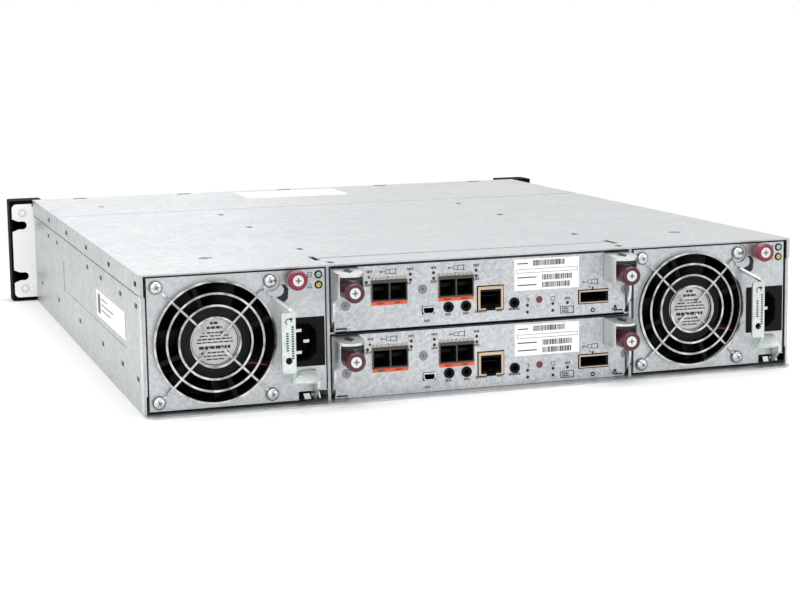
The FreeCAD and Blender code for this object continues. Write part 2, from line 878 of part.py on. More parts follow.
def blade_outline():
    """A curved, thin blade section standing across the hub's radius."""
    half = blade_chord / 2
    turn = math.radians(blade_pitch)

    def place(along, over):
        y = along * math.sin(turn) + over * math.cos(turn)
        z = along * math.cos(turn) - over * math.sin(turn)
        return V(rotor_hub_radius - rotor_root_sink, y, z)
    upper = Part.Arc(place(-half, blade_thick), place(0, blade_rise + blade_thick),
                     place(half, blade_thick))
    lower = Part.Arc(place(half, 0), place(0, blade_rise), place(-half, 0))
    tail = Part.LineSegment(place(half, blade_thick), place(half, 0))
    nose = Part.LineSegment(place(-half, 0), place(-half, blade_thick))
    return Part.Wire([upper.toShape(), tail.toShape(), lower.toShape(), nose.toShape()])


def fan_rotor():
    """A cup hub with curved blades behind the motor base."""
    front = -power_sheet - fan_base_thick - rotor_gap
    hub = rod(rotor_hub_radius, V(0, front, 0), V(0, -rotor_depth, 0))
    reach = rotor_blade_radius - rotor_hub_radius + rotor_root_sink
    blade = Part.Face(blade_outline()).extrude(V(reach, 0, 0))
    blade.translate(V(0, front - rotor_depth / 2, 0))
    pieces = [hub]
    for i in range(rotor_blades):
        turned = blade.copy()
        turned.rotate(V(0, 0, 0), V(0, 1, 0), 360 * i / rotor_blades)
        pieces.append(turned)
    return moved(joined(pieces), -fan_across, 0, fan_up)


def finger_guard():
    """Wire rings on four arms. Each arm's end is clamped under a screw head."""
    half = guard_wire / 2
    ring_y = guard_stand_off + guard_wire / 2
    pieces = []
    for i in range(guard_ring_count):
        radius = fan_opening_radius - guard_ring_gap - i * guard_ring_pitch
        outer = rod(radius + half, V(0, ring_y, 0), V(0, guard_wire, 0))
        inner = rod(radius - half, V(0, ring_y - past, 0), V(0, guard_wire + 2 * past, 0))
        pieces.append(outer.cut(inner))
    reach = fan_screw_pitch / math.sqrt(2) - screw_shank_radius - screw_gap
    bend = fan_opening_radius + guard_bend_out
    for i in range(4):
        arm = plate_xy([(guard_arm_inner, ring_y), (guard_arm_inner, ring_y - guard_wire),
                        (bend, ring_y - guard_wire), (bend + guard_stand_off, 0), (reach, 0),
                        (reach, guard_wire), (bend + 2 * guard_wire, guard_wire),
                        (bend + guard_wire / 2, ring_y)], -half, half)
        arm.rotate(V(0, 0, 0), V(0, 1, 0), 45 + 90 * i)
        pieces.append(arm)
    return moved(joined(pieces), -fan_across, 0, fan_up)


def guard_screws():
    screws = []
    for x, z in guard_corners():
        head = rod(screw_head_radius, V(x, guard_wire, z), V(0, screw_head_thick, 0))
        shank = rod(screw_shank_radius, V(x, guard_wire, z), V(0, -guard_wire - screw_bite, 0))
        screws.append(joined([head, shank]))
    return screws


def power_inlet():
    """Three-pole inlet on its side: flush body, shaped mouth and three flat pins."""
    body = middle_box(0, inlet_width, -inlet_body_depth, port_proud, -inlet_height / 2, inlet_height)
    side = inlet_mouth_width / 2
    up = inlet_mouth_height / 2
    floor = port_proud - inlet_mouth_depth
    mouth = plate_xz([(-side, up - inlet_mouth_corner), (inlet_mouth_corner - side, up), (side, up),
                      (side, -up), (inlet_mouth_corner - side, -up), (-side, inlet_mouth_corner - up)],
                     floor, port_proud + past)
    pieces = [without(body, [mouth])]
    for x, z in ((inlet_pin_offset, inlet_pin_rise), (-inlet_pin_offset, 0),
                 (inlet_pin_offset, -inlet_pin_rise)):
        pieces.append(middle_box(x, inlet_pin_width, floor, port_proud - inlet_pin_inset,
                                 z - inlet_pin_thick / 2, inlet_pin_thick))
    return moved(joined(pieces), -inlet_across, 0, inlet_up)


def power_lamps():
    return [rod(lamp_radius, V(-lamp_across, -lamp_depth, up), V(0, lamp_depth + lamp_proud, 0))
            for up in lamp_ups]


def power_board():
    """Circuit board with its plug, transformer, capacitors, two heat sinks and a filter."""
    back = -power_depth
    board_back = back + power_sheet + seat_gap
    plug = power_socket(back, board_back + module_socket_reach, 0)
    board = box(power_board_margin - power_width, -power_board_margin, board_back, -power_board_front,
                power_board_up, power_board_up + board_thick)
    top = power_board_up + board_thick
    middle = -power_width / 2
    solids = [without(board, [plug]), plug]
    solids.append(middle_box(middle, filter_width, back + filter_length, back + 2 * filter_length, top,
                             filter_height))
    capacitor_y = back + 3 * filter_length + capacitor_radius
    for side in (-1, 1):
        x = middle + side * (power_width / 2 - sink_edge)
        solids.append(middle_box(x, sink_sheet, back + filter_length, back + filter_length + sink_length,
                                 top, sink_height))
        foot = V(middle + side * (capacitor_radius + seat_gap), capacitor_y, top)
        solids.append(rod(capacitor_radius, foot, V(0, 0, capacitor_height)))
    transformer_back = capacitor_y + filter_length
    solids.append(middle_box(middle, transformer_width, transformer_back,
                             transformer_back + transformer_length, top, transformer_height))
    return solids


def lever_plate():
    """The lever's flat part on the face, with a notch round the fan screw and the knob's hole."""
    near = lever_face_gap
    left = -fan_screw_right
    screw_up = fan_screw_up
    right = -power_knob_across - lever_plate_margin
    top = power_height - lever_plate_top_gap
    tail = grip_high + lever_plate_tail
    plate = plate_xz([(left + lever_plate_left, top), (right, top, lever_plate_corner),
                      (right, tail, lever_plate_corner),
                      (-grip_across - grip_width / 2, tail - grip_width / 2),
                      (left, screw_up - fold_drop + lever_sheet / 3),
                      (left + lever_plate_left, screw_up - fold_drop + lever_sheet)],
                     near, near + lever_sheet)
    across = V(0, lever_sheet + 2 * past, 0)
    notch = rod(screw_head_radius + lever_notch_gap, V(left, near - past, screw_up), across)
    hole = rod(knob_neck_radius + pin_gap, V(-power_knob_across, near - past, power_knob_up), across)
    return without(plate, [notch, hole])


def lever_fold():
    """The leg that stands off the face along the slanted fold and reaches the grip's top corner."""
    near = lever_face_gap
    start = V(-fan_screw_right - fold_left, 0, fan_screw_up - fold_drop)
    end = V(-grip_across - grip_width / 2, 0, grip_high)
    slope = (end - start).normalize()
    length = (end - start).Length
    wire = closed_wire([(0, near), (0, near + lever_sheet),
                        (length - fold_corner, lever_reach, lever_plate_corner), (length, lever_reach),
                        (length, lever_reach - fold_flat), (fold_flat, near)],
                       lambda q: start + slope * q.x + V(0, q.y, 0))
    return Part.Face(wire).extrude(slope.cross(V(0, 1, 0)).normalize() * lever_sheet)


def lever_grip():
    left = grip_width / 2 - grip_across
    right = -grip_width / 2 - grip_across
    strip = plate_xz([(right, grip_low, grip_corner), (left, grip_low, grip_corner),
                      (left, grip_high, grip_corner), (right, grip_high)],
                     lever_reach - lever_sheet, lever_reach)
    hole = rod(grip_hole_radius, V(-grip_across, lever_reach - lever_sheet - past, grip_low + grip_hole_up),
               V(0, lever_sheet + 2 * past, 0))
    return without(strip, [hole])


def lever_foot():
    """Below the grip: a leg, a sloping shelf, and the tab that turns on the pivot pin."""
    right = -grip_width / 2 - grip_across
    tab = -notch_left - tab_inset
    near_y = lever_reach - shelf_back
    near_z = grip_low - shelf_drop
    far_z = near_z + shelf_rise
    leg = plate_yz([(lever_reach, grip_low + lever_leg_high), (lever_reach, grip_low), (near_y, near_z),
                    (near_y - 2 * lever_sheet, near_z + lever_pin_radius),
                    (lever_reach - lever_leg_width, grip_low + 2 * lever_sheet),
                    (lever_reach - lever_leg_width, grip_low + lever_leg_high)],
                   right, right + lever_sheet)
    corners = [V(right + lever_sheet, near_y, near_z), V(tab, near_y, near_z),
               V(tab, shelf_face_gap, far_z), V(tab + lever_tab_width, shelf_face_gap, far_z)]
    down = (corners[2] - corners[1]).cross(corners[1] - corners[0]).normalize()
    if down.z > 0:
        down = down * -1
    shelf = Part.Face(Part.makePolygon(corners + [corners[0]])).extrude(down * lever_sheet)
    pivot_y = -lever_pivot_inset
    bottom = lever_pivot_up - lever_hub_radius
    top = lever_pivot_up + lever_hub_radius
    web = plate_yz([(pivot_y, bottom), (lever_sheet, bottom), (near_y, bottom + lever_tab_width),
                    (near_y, near_z), (shelf_face_gap, far_z), (shelf_face_gap, top), (pivot_y, top)],
                   tab, tab + lever_sheet)
    hub = rod(lever_hub_radius, V(tab, pivot_y, lever_pivot_up), V(lever_sheet, 0, 0))
    pin = rod(lever_pin_radius, V(tab - pivot_ear_gap - outer_ear_width, pivot_y, lever_pivot_up),
              V(lever_pin_length, 0, 0))
    return [leg, shelf, web, hub, pin]


def power_lever():
    return joined([lever_plate(), lever_fold(), lever_grip()] + lever_foot())


def thumbscrew(radius, reach, start):
    """Plain screw with a tip, a neck and a gripped sleeve, turned about Y."""
    neck = knob_neck_radius
    points = [V(0, -knob_tip_reach, 0), V(knob_tip_radius, -knob_tip_reach, 0),
              V(knob_tip_radius, lever_face_gap, 0), V(neck, lever_face_gap, 0), V(neck, start, 0),
              V(radius * knob_taper, start, 0), V(radius, reach - knob_edge, 0),
              V(radius - knob_edge, reach, 0), V(knob_end_radius, reach, 0),
              V(knob_end_radius, reach - knob_end_sink, 0), V(0, reach - knob_end_sink, 0)]
    face = Part.Face(Part.makePolygon(points + [points[0]]))
    return face.revolve(V(0, 0, 0), V(0, 1, 0), 360)


# Controller module, measured from the middle of its faceplate's lower edge

def port_hole(centre, width, low, height):
    return middle_box(centre, width + 2 * port_gap, -controller_sheet - past, past, low - port_gap,
                      height + 2 * port_gap)


def controller_tray():
    back = -controller_depth
    half = faceplate_half
    sheet = controller_sheet
    wall_top = controller_height - controller_wall_drop
    pieces = [box(-half, half, -sheet, 0, 0, controller_height),
              box(-half, half, back, -sheet, 0, controller_floor)]
    for side in (-1, 1):
        outer = side * half
        inner = side * (half - sheet)
        pieces.append(plate_yz([(-sheet, 0), (-sheet, controller_height), (-2 * controller_height, wall_top),
                                (back + sheet, wall_top, controller_wall_corner),
                                (back, wall_top / 2, controller_wall_corner), (back, 0)],
                               min(outer, inner), max(outer, inner)))
    for x in (post_inset - half, 0, half - post_inset):
        for y in (post_end_gap + back, back / 2, -post_end_gap):
            pieces.append(middle_box(x, post_width, y - post_width / 2, y + post_width / 2,
                                     controller_floor, board_top - board_thick - controller_floor))
    cutters = [port_hole(place, host_width, host_low, host_height) for place in host_places]
    cutters.append(port_hole(usb_place, usb_width, board_top, usb_height))
    cutters.append(port_hole(network_place, network_width, board_top, network_height))
    cutters.append(port_hole(expansion_place, expansion_width, board_top, expansion_height))
    through = V(0, sheet + 2 * past, 0)
    for place in jack_places:
        cutters.append(rod(jack_radius + port_gap, V(place, -sheet - past, jack_up), through))
    for side in (-1, 1):
        cutters.append(rod(knob_tip_radius + knob_hole_gap,
                           V(side * controller_knob_place, -sheet - past, controller_knob_up), through))
        cutters.append(rod(arm_pin_radius + pin_gap, V(side * (half + past), -arm_pivot_inset, arm_pivot_up),
                           V(-side * (sheet + 2 * past), 0, 0)))
        cutters.append(side_box(side, half - corner_notch_wide, half + past, -sheet, past, -past,
                                corner_notch_high))
    return without(joined(pieces), cutters)


def heat_sink(size, height):
    """A square finned heat sink."""
    pieces = [box(0, size, 0, size, 0, sink_base)]
    count = int(size / sink_fin_pitch) + 1
    pitch = (size - sink_fin) / (count - 1)
    for i in range(count):
        pieces.append(box(i * pitch, i * pitch + sink_fin, 0, size, 0, height))
    return joined(pieces)


def controller_heat_sinks():
    """The finned sinks on the processor and on the bridge chip."""
    back = -controller_depth
    half = faceplate_half - board_margin
    inner = half - bridge_edge - bridge_sink
    battery_end = battery_edge - half + battery_width
    room = half - battery_end - processor_sink
    share = processor_room_by_battery / (processor_room_by_battery + processor_room_by_edge)
    return [moved(heat_sink(processor_sink, processor_sink_height), battery_end + room * share,
                  back + processor_from_back, board_top),
            moved(heat_sink(bridge_sink, bridge_sink_height), inner, back + bridge_from_back, board_top)]


def controller_board():
    """Main board, plugs, host board on its posts, memory, battery and chips."""
    back = -controller_depth
    half = faceplate_half - board_margin
    top = board_top
    socket_back = back + module_socket_reach
    solids = [box(-half, half, socket_back, -controller_sheet - seat_gap, top - board_thick, top)]
    for side in (-1, 1):
        plug = controller_socket(side, back, socket_back, 0)
        seat = middle_box(side * controller_half / 2, module_socket_width, socket_back,
                          socket_back + module_socket_reach / 2, top, controller_socket_height)
        solids.append(joined([plug, seat]))
    host_middle = sum(host_places) / 2
    reach = host_places[0] - host_places[1] + host_width + 2 * mezzanine_margin
    under = host_low - board_thick
    solids.append(middle_box(host_middle, reach, -mezzanine_depth, -2 * controller_sheet, under, board_thick))
    for side in (-1, 1):
        x = host_middle + side * (reach / 2 - mezzanine_post)
        solids.append(middle_box(x, mezzanine_post, mezzanine_post - mezzanine_depth,
                                 2 * mezzanine_post - mezzanine_depth, top, under - top))
    for i in range(2):
        solids.append(moved(box(0, board_thick, 0, memory_length, 0, memory_height),
                            memory_edge - half + i * memory_pitch, back + memory_from_back, top))
    solids.append(moved(box(0, battery_width, 0, battery_length, 0, battery_height),
                        battery_edge - half, back + battery_from_back, top))
    for x, from_back in chip_places:
        solids.append(moved(box(0, chip_width, 0, chip_width, 0, chip_height),
                            x - chip_width / 2, back + from_back - chip_width / 2, top))
    return solids


def host_port_cages():
    """Two ganged cages, each with two mouths side by side and a contact card in each."""
    cages = []
    for place in host_places:
        body = middle_box(place, host_width, -host_depth, port_proud, host_low, host_height)
        mouths = []
        cards = []
        for side in (-1, 1):
            middle = place + side * (host_mouth_width / 2 + host_wall / 2)
            mouths.append(middle_box(middle, host_mouth_width, host_wall - host_depth, port_proud + past,
                                     host_low + host_wall, host_height - 3 * host_wall))
            cards.append(middle_box(middle, 2 * host_mouth_width / 3, host_wall / 2 - host_depth,
                                    -host_card_reach, host_low + host_height / 2 - host_wall, host_wall))
        cages.append(joined([without(body, mouths)] + cards))
    return cages


def open_box_socket(place, width, depth, height, wall, back_wall):
    """A plain shielded socket that stands on the board and is open to the rear."""
    body = middle_box(place, width, -depth, port_proud, board_top, height)
    mouth = middle_box(place, width - 2 * wall, back_wall - depth, port_proud + past,
                       board_top + wall, height - 2 * wall)
    return without(body, [mouth])


def network_socket():
    """An eight-contact socket whose mouth has a narrow step for the plug's clip below."""
    body = middle_box(network_place, network_width, -network_depth, port_proud, board_top, network_height)
    side = network_width / 2 - network_wall
    step = network_step_wide / 2
    step_low = board_top + network_wall / 2
    low = step_low + network_step_high
    high = board_top + network_height - 2 * network_wall
    mouth = plate_xz([(-side, low), (-step, low), (-step, step_low), (step, step_low), (step, low),
                      (side, low), (side, high), (-side, high)],
                     socket_back_wall - network_depth, port_proud + past)
    return without(body, [moved(mouth, network_place, 0, 0)])


def rear_connectors():
    solids = [open_box_socket(usb_place, usb_width, usb_depth, usb_height, usb_wall, 2 * usb_wall)]
    for place in jack_places:
        barrel = rod(jack_radius, V(place, -jack_depth, jack_up), V(0, jack_depth + port_proud, 0))
        bore = rod(jack_bore_radius, V(place, jack_bore_radius - jack_depth, jack_up),
                   V(0, jack_depth + port_proud, 0))
        solids.append(without(barrel, [bore]))
    solids.append(network_socket())
    solids.append(open_box_socket(expansion_place, expansion_width, expansion_depth, expansion_height,
                                  expansion_wall, socket_back_wall))
    return solids


def hood_block(inset, low):
    """The hood's outline with a bowed front and a falling top, shrunk on every side by inset."""
    inner = controller_half - hood_width + inset
    outer = controller_half - inset
    corner = hood_reach - hood_bow - inset
    back = lever_face_gap + inset
    wire = Part.Wire([
        Part.LineSegment(V(inner, back, 0), V(outer, back, 0)).toShape(),
        Part.LineSegment(V(outer, back, 0), V(outer, corner, 0)).toShape(),
        Part.Arc(V(outer, corner, 0), V(controller_knob_place, hood_reach - inset, 0),
                 V(inner, corner, 0)).toShape(),
        Part.LineSegment(V(inner, corner, 0), V(inner, back, 0)).toShape()])
    block = Part.Face(wire).extrude(V(0, 0, controller_height))
    top = hood_top - inset
    far = hood_reach + past
    slope = plate_yz([(0, low), (far, low), (far, top - hood_fall), (0, top)],
                     inner - past, outer + past)
    return block.common(slope)


def controller_lever():
    """Hooded lever at the +X end of the faceplate, with a long arm down to its pivot."""
    sheet = lever_sheet
    outer = controller_half
    near = lever_face_gap
    corner = hood_reach - hood_bow
    hood = hood_block(0, hood_low).cut(hood_block(sheet, hood_low - past))
    window = box(outer - hood_width + sheet, outer - sheet, hood_reach / 2, hood_reach + past,
                 hood_low - past, hood_top - hood_lip)
    hole = rod(knob_neck_radius + pin_gap, V(controller_knob_place, near - past, controller_knob_up),
               V(0, sheet + 2 * past, 0))
    pivot_y = -arm_pivot_inset
    hub = arm_hub_radius
    foot = arm_pivot_up - hub
    arm_middle = (hood_low + arm_pivot_up) / 2
    arm = plate_yz([(near, hood_low + sheet), (corner - sheet, hood_low + sheet), (corner - sheet, hood_low),
                    (near + arm_wide, hood_low - sheet, arm_wide - past),
                    (arm_wide, arm_middle, arm_wide - past),
                    (arm_wide / 2, arm_pivot_up + sheet, sheet),
                    (pivot_y + hub, arm_pivot_up - past, past), (pivot_y, foot),
                    (pivot_y - arm_hook, foot), (pivot_y - arm_hook, foot + hub - past, past),
                    (pivot_y - hub, arm_pivot_up + past), (pivot_y, arm_pivot_up + hub, past),
                    (-sheet, arm_middle, sheet), (near, arm_middle + arm_wide / 2)],
                   outer - sheet, outer)
    pin = rod(arm_pin_radius, V(outer - sheet, pivot_y, arm_pivot_up),
              V(-plate_edge_gap - controller_sheet - past, 0, 0))
    return joined([without(hood, [window, hole]), arm, pin])


# Write every node

save("chassis_tray", [chassis_tray()])
save("top_cover", [top_cover()])
save("drive_bay_cover", [drive_bay_cover()])
save("bay_dividers", bay_dividers())
save("midplane_board", midplane_board())
save("drive_cage", [drive_cage()])
ear = rack_ear()
save("rack_ears", [ear, mirrored(ear)])
cap = ear_cap()
save("ear_cap_left", [cap])
save("ear_cap_right", [mirrored(cap)])
save("drive_blanks", [drive_blank(bay_middle(i)) for i in range(bay_count) if i not in loaded_bays])

for number, bay in enumerate(loaded_bays, 1):
    save("drive_" + str(number) + "_carrier", drive_carrier(bay_middle(bay)))
    save("drive_" + str(number) + "_latch", [drive_latch(bay_middle(bay))])

power_nodes = {
    "case": [power_case()],
    "fan_frame": [fan_frame()],
    "fan_rotor": [fan_rotor()],
    "finger_guard": [finger_guard()],
    "guard_screws": guard_screws(),
    "inlet": [power_inlet()],
    "lamps": power_lamps(),
    "board": power_board(),
    "lever": [power_lever()],
    "thumbscrew": [moved(thumbscrew(power_knob_radius, power_knob_reach,
                                    lever_face_gap + lever_sheet + knob_lever_gap),
                         -power_knob_across, 0, power_knob_up)],
}
for side, left_edge in (("left", power_outer), ("right", -power_inner)):
    for name, shapes in power_nodes.items():
        save("power_" + side + "_" + name,
             [moved(shape, left_edge, power_face, power_bottom) for shape in shapes])

lever = controller_lever()
knob = moved(thumbscrew(controller_knob_radius, controller_knob_reach, controller_knob_start),
             controller_knob_place, 0, controller_knob_up)
controller_nodes = {
    "tray": [controller_tray()],
    "board": controller_board(),
    "heat_sinks": controller_heat_sinks(),
    "port_cages": host_port_cages(),
    "connectors": rear_connectors(),
    "lever_left": [lever],
    "lever_right": [mirrored(lever)],
    "screw_left": [knob],
    "screw_right": [mirrored(knob)],
}
for level, bottom in (("upper", upper_bottom), ("lower", controller_bottom)):
    for name, shapes in controller_nodes.items():
        save("controller_" + level + "_" + name,
             [moved(shape, 0, controller_face, bottom) for shape in shapes])
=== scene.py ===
import math
import random

import bmesh
import bpy
from mathutils import Matrix, Vector


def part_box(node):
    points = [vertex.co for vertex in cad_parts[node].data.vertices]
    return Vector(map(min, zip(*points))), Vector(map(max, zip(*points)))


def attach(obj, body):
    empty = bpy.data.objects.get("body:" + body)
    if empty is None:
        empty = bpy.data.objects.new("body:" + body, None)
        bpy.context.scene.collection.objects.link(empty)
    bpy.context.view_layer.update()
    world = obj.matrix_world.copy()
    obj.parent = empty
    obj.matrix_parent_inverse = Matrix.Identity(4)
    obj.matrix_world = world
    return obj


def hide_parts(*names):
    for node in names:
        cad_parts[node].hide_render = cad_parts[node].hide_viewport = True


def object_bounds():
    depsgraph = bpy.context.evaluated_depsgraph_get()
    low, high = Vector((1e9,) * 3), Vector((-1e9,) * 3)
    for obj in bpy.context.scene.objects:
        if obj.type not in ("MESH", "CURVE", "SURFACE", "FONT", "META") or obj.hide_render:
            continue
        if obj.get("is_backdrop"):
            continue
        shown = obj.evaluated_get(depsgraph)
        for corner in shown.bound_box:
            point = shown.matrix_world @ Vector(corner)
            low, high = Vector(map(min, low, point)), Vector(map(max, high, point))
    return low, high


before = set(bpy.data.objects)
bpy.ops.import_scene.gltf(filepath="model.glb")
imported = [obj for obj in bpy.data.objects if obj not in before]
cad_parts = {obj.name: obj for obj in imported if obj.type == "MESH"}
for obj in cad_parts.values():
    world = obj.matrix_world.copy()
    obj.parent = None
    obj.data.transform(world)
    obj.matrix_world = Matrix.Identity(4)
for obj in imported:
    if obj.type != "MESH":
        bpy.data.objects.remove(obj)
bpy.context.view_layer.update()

# Sizes and places on the machine, in millimetres, in the part's own frame.
MM = 0.001
BODY_LEFT = 223.5
CONTROLLER_FACE = 254.75
POWER_FACE = 255.25
# Each controller with its drop below the upper one, and the x of its levers' knobs.
LEVELS = (("upper", 0.0), ("lower", 43.2))
KNOBS = (("left", 93.95), ("right", -93.95))
# Each power module with the x of its edge on the left, seen from behind.
POWER_EDGES = (("left", 220.0), ("right", -106.0))
PRINT = 0.08
DISC = 48
# An inner radius so small that a ring is a dot.
PINHOLE = 0.0005
# Corners nearer to each other than this become one.
MERGE = 0.0005
# Edges sharper than this many degrees keep their crease.
CREASE = 32


# Shapes

def across(u):
    """The x of a place that lies u millimetres in from the left side seen from behind."""
    return BODY_LEFT - u


class Shape:
    """A mesh under construction, given in millimetres and made lower by its drop."""

    def __init__(self, drop=0.0):
        self.mesh = bmesh.new()
        self.drop = drop

    def box(self, low, high, bevel=0.0):
        """A closed block between two corners, with rounded edges where a bevel is given."""
        made = bmesh.ops.create_cube(self.mesh, size=1.0)["verts"]
        middle = [(a + b) / 2 for a, b in zip(low, high)]
        size = [b - a for a, b in zip(low, high)]
        for vert in made:
            vert.co = Vector([m + c * s for m, c, s in zip(middle, vert.co, size)])
        if bevel:
            edges = list({edge for vert in made for edge in vert.link_edges})
            bmesh.ops.bevel(self.mesh, geom=edges, offset=bevel, segments=2, affect="EDGES", profile=0.5)
        return self

    def plate(self, low, high, y, depth=PRINT):
        """A block facing +Y between two (x, z) corners, from y to y + depth."""
        return self.box((low[0], y, low[1]), (high[0], y + depth, high[1]))

    def lathe(self, profile, middle, steps=DISC):
        """A turned body on an axis along +Y: the profile gives radius and y from its inner end out."""
        rings = []
        for radius, y in profile:
            if radius == 0:
                rings.append([self.mesh.verts.new((middle[0], y, middle[1]))])
                continue
            ring = []
            for i in range(steps):
                turn = 2 * math.pi * i / steps
                ring.append(self.mesh.verts.new((middle[0] + radius * math.cos(turn), y,
                                                 middle[1] + radius * math.sin(turn))))
            rings.append(ring)
        for inner, outer in zip(rings, rings[1:]):
            for i in range(steps):
                j = (i + 1) % steps
                corners = [inner[i % len(inner)], inner[j % len(inner)],
                           outer[j % len(outer)], outer[i % len(outer)]]
                self.mesh.faces.new(list(dict.fromkeys(corners)))
        return self

    def disc(self, middle, radius, y, depth, steps=DISC):
        """A round plate facing +Y."""
        return self.lathe([(0, y), (radius, y), (radius, y + depth), (0, y + depth)], middle, steps)

    def between(self, near, far):
        """A closed body between two outlines that have as many corners."""
        near, far = ([self.mesh.verts.new(corner) for corner in outline] for outline in (near, far))
        self.mesh.faces.new(near)
        self.mesh.faces.new(far)
        for i, vert in enumerate(near):
            j = (i + 1) % len(near)
            self.mesh.faces.new((vert, near[j], far[j], far[i]))
        return self

    def prism(self, outline, y, depth=PRINT):
        """A closed plate with an outline of (x, z) points, from y to y + depth."""
        return self.between([(x, y, z) for x, z in outline], [(x, y + depth, z) for x, z in outline])

    def flat(self, outline, z, depth):
        """A closed plate lying level, with an outline of (x, y) points, from z to z + depth."""
        return self.between([(x, y, z) for x, y in outline], [(x, y, z + depth) for x, y in outline])

    def ring(self, middle, inner, outer, y, depth, steps=DISC, start=0.0, sweep=360.0):
        """A flat ring, or a part of one, facing +Y."""
        whole = sweep >= 360
        count = steps if whole else steps + 1
        turns = [math.radians(start + sweep * i / steps) for i in range(count)]
        rows = []
        for turn in turns:
            cosine, sine = math.cos(turn), math.sin(turn)
            rows.append([self.mesh.verts.new((middle[0] + r * cosine, at, middle[1] + r * sine))
                         for r, at in ((inner, y), (outer, y), (outer, y + depth), (inner, y + depth))])
        pairs = list(zip(rows, rows[1:] + rows[:1])) if whole else list(zip(rows, rows[1:]))
        for one, two in pairs:
            for i in range(4):
                j = (i + 1) % 4
                self.mesh.faces.new((one[i], two[i], two[j], one[j]))
        if not whole:
            self.mesh.faces.new(rows[0])
            self.mesh.faces.new(rows[-1])
        return self

    def frame_plate(self, low, high, rim, y):
        """A printed rectangular frame facing +Y, rim wide, built from four bars that meet end to side."""
        (x0, z0), (x1, z1) = low, high
        for a, b in (((x0, z0), (x1, z0 + rim)), ((x0, z1 - rim), (x1, z1)),
                     ((x0, z0 + rim), (x0 + rim, z1 - rim)), ((x1 - rim, z0 + rim), (x1, z1 - rim))):
            self.plate(a, b, y)
        return self

    def object(self, name):
        """The finished mesh as an object whose place is in its vertices, in metres."""
        bmesh.ops.remove_doubles(self.mesh, verts=self.mesh.verts, dist=MERGE)
        bmesh.ops.recalc_face_normals(self.mesh, faces=self.mesh.faces)
        self.mesh.transform(Matrix.Scale(MM, 4) @ Matrix.Translation((0, 0, -self.drop)))
        mesh = bpy.data.meshes.new(name)
        self.mesh.to_mesh(mesh)
        self.mesh.free()
        for face in mesh.polygons:
            face.use_smooth = True
        mesh.set_sharp_from_angle(angle=math.radians(CREASE))
        return linked(name, mesh)


def linked(name, data):
    """A new object of the scene that shows a mesh, a curve, a light or a camera."""
    made = bpy.data.objects.new(name, data)
    bpy.context.scene.collection.objects.link(made)
    return made


def arc(middle, radius, degrees):
    """Points on a round line about a middle, at the given angles."""
    turns = [math.radians(angle) for angle in degrees]
    return [(middle[0] + radius * math.cos(a), middle[1] + radius * math.sin(a)) for a in turns]


def fit(name, body, finish, shape):
    """Puts a finished piece on the body that carries it."""
    made = shape if isinstance(shape, bpy.types.Object) else shape.object(name)
    made.data.materials.clear()
    made.data.materials.append(finish)
    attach(made, body)
    return made


# Materials

# The widths of the slow changes of shade on sheet metal and on plastic.
ZINC_CLOUD = 55.0
PLASTIC_CLOUD = 18.0
# The part of the mixed patterns that runs from the darkest shade to the lightest.
ZINC_SPAN = (0.62, 1.22)
PLASTIC_SPAN = (0.75, 1.25)


def linear(code):
    """Turns an sRGB hex colour into linear red, green, blue and alpha."""
    parts = [int(code[i:i + 2], 16) / 255 for i in (1, 3, 5)]
    return tuple(c / 12.92 if c <= 0.04045 else ((c + 0.055) / 1.055) ** 2.4 for c in parts) + (1.0,)


def node(tree, kind, settings=None, values=None, links=None, stops=()):
    """Adds a node with its settings, input values, the sockets that feed it, and a ramp's colour stops."""
    made = tree.nodes.new(kind)
    for key, value in (settings or {}).items():
        setattr(made, key, value)
    for key, value in (values or {}).items():
        made.inputs[key].default_value = value
    feed(made, links or {})
    for number, (where, code) in enumerate(stops):
        bar = made.color_ramp.elements
        element = bar[number] if number < len(bar) else bar.new(where)
        element.position = where
        element.color = linear(code)
    return made


def feed(made, links):
    """Links a node's inputs to the sockets that feed them."""
    for key, source in links.items():
        made.id_data.links.new(source, made.inputs[key])


def finish_named(name, values):
    """A new material with its shader's constant values set on the shader itself."""
    made = bpy.data.materials.new(name)
    made.use_nodes = True
    shader = made.node_tree.nodes["Principled BSDF"]
    for key, value in values.items():
        shader.inputs[key].default_value = value
    place = node(made.node_tree, "ShaderNodeTexCoord").outputs["Object"]
    return made, made.node_tree, shader, place


def surface(shader, pattern, stops, gloss, rough, height=None, relief=0.0, relief_mm=0.0):
    """Colours a shader by one pattern, roughens it by another, and raises any fine relief."""
    tree = shader.id_data
    colour = node(tree, "ShaderNodeValToRGB", links={"Fac": pattern}, stops=stops)
    sheen = node(tree, "ShaderNodeMapRange", {}, {"To Min": rough[0], "To Max": rough[1]}, {"Value": gloss})
    feed(shader, {"Base Color": colour.outputs["Color"], "Roughness": sheen.outputs["Result"]})
    if height is not None:
        bump = node(tree, "ShaderNodeBump", {}, {"Strength": relief, "Distance": relief_mm * MM},
                    {"Height": height})
        feed(shader, {"Normal": bump.outputs["Normal"]})


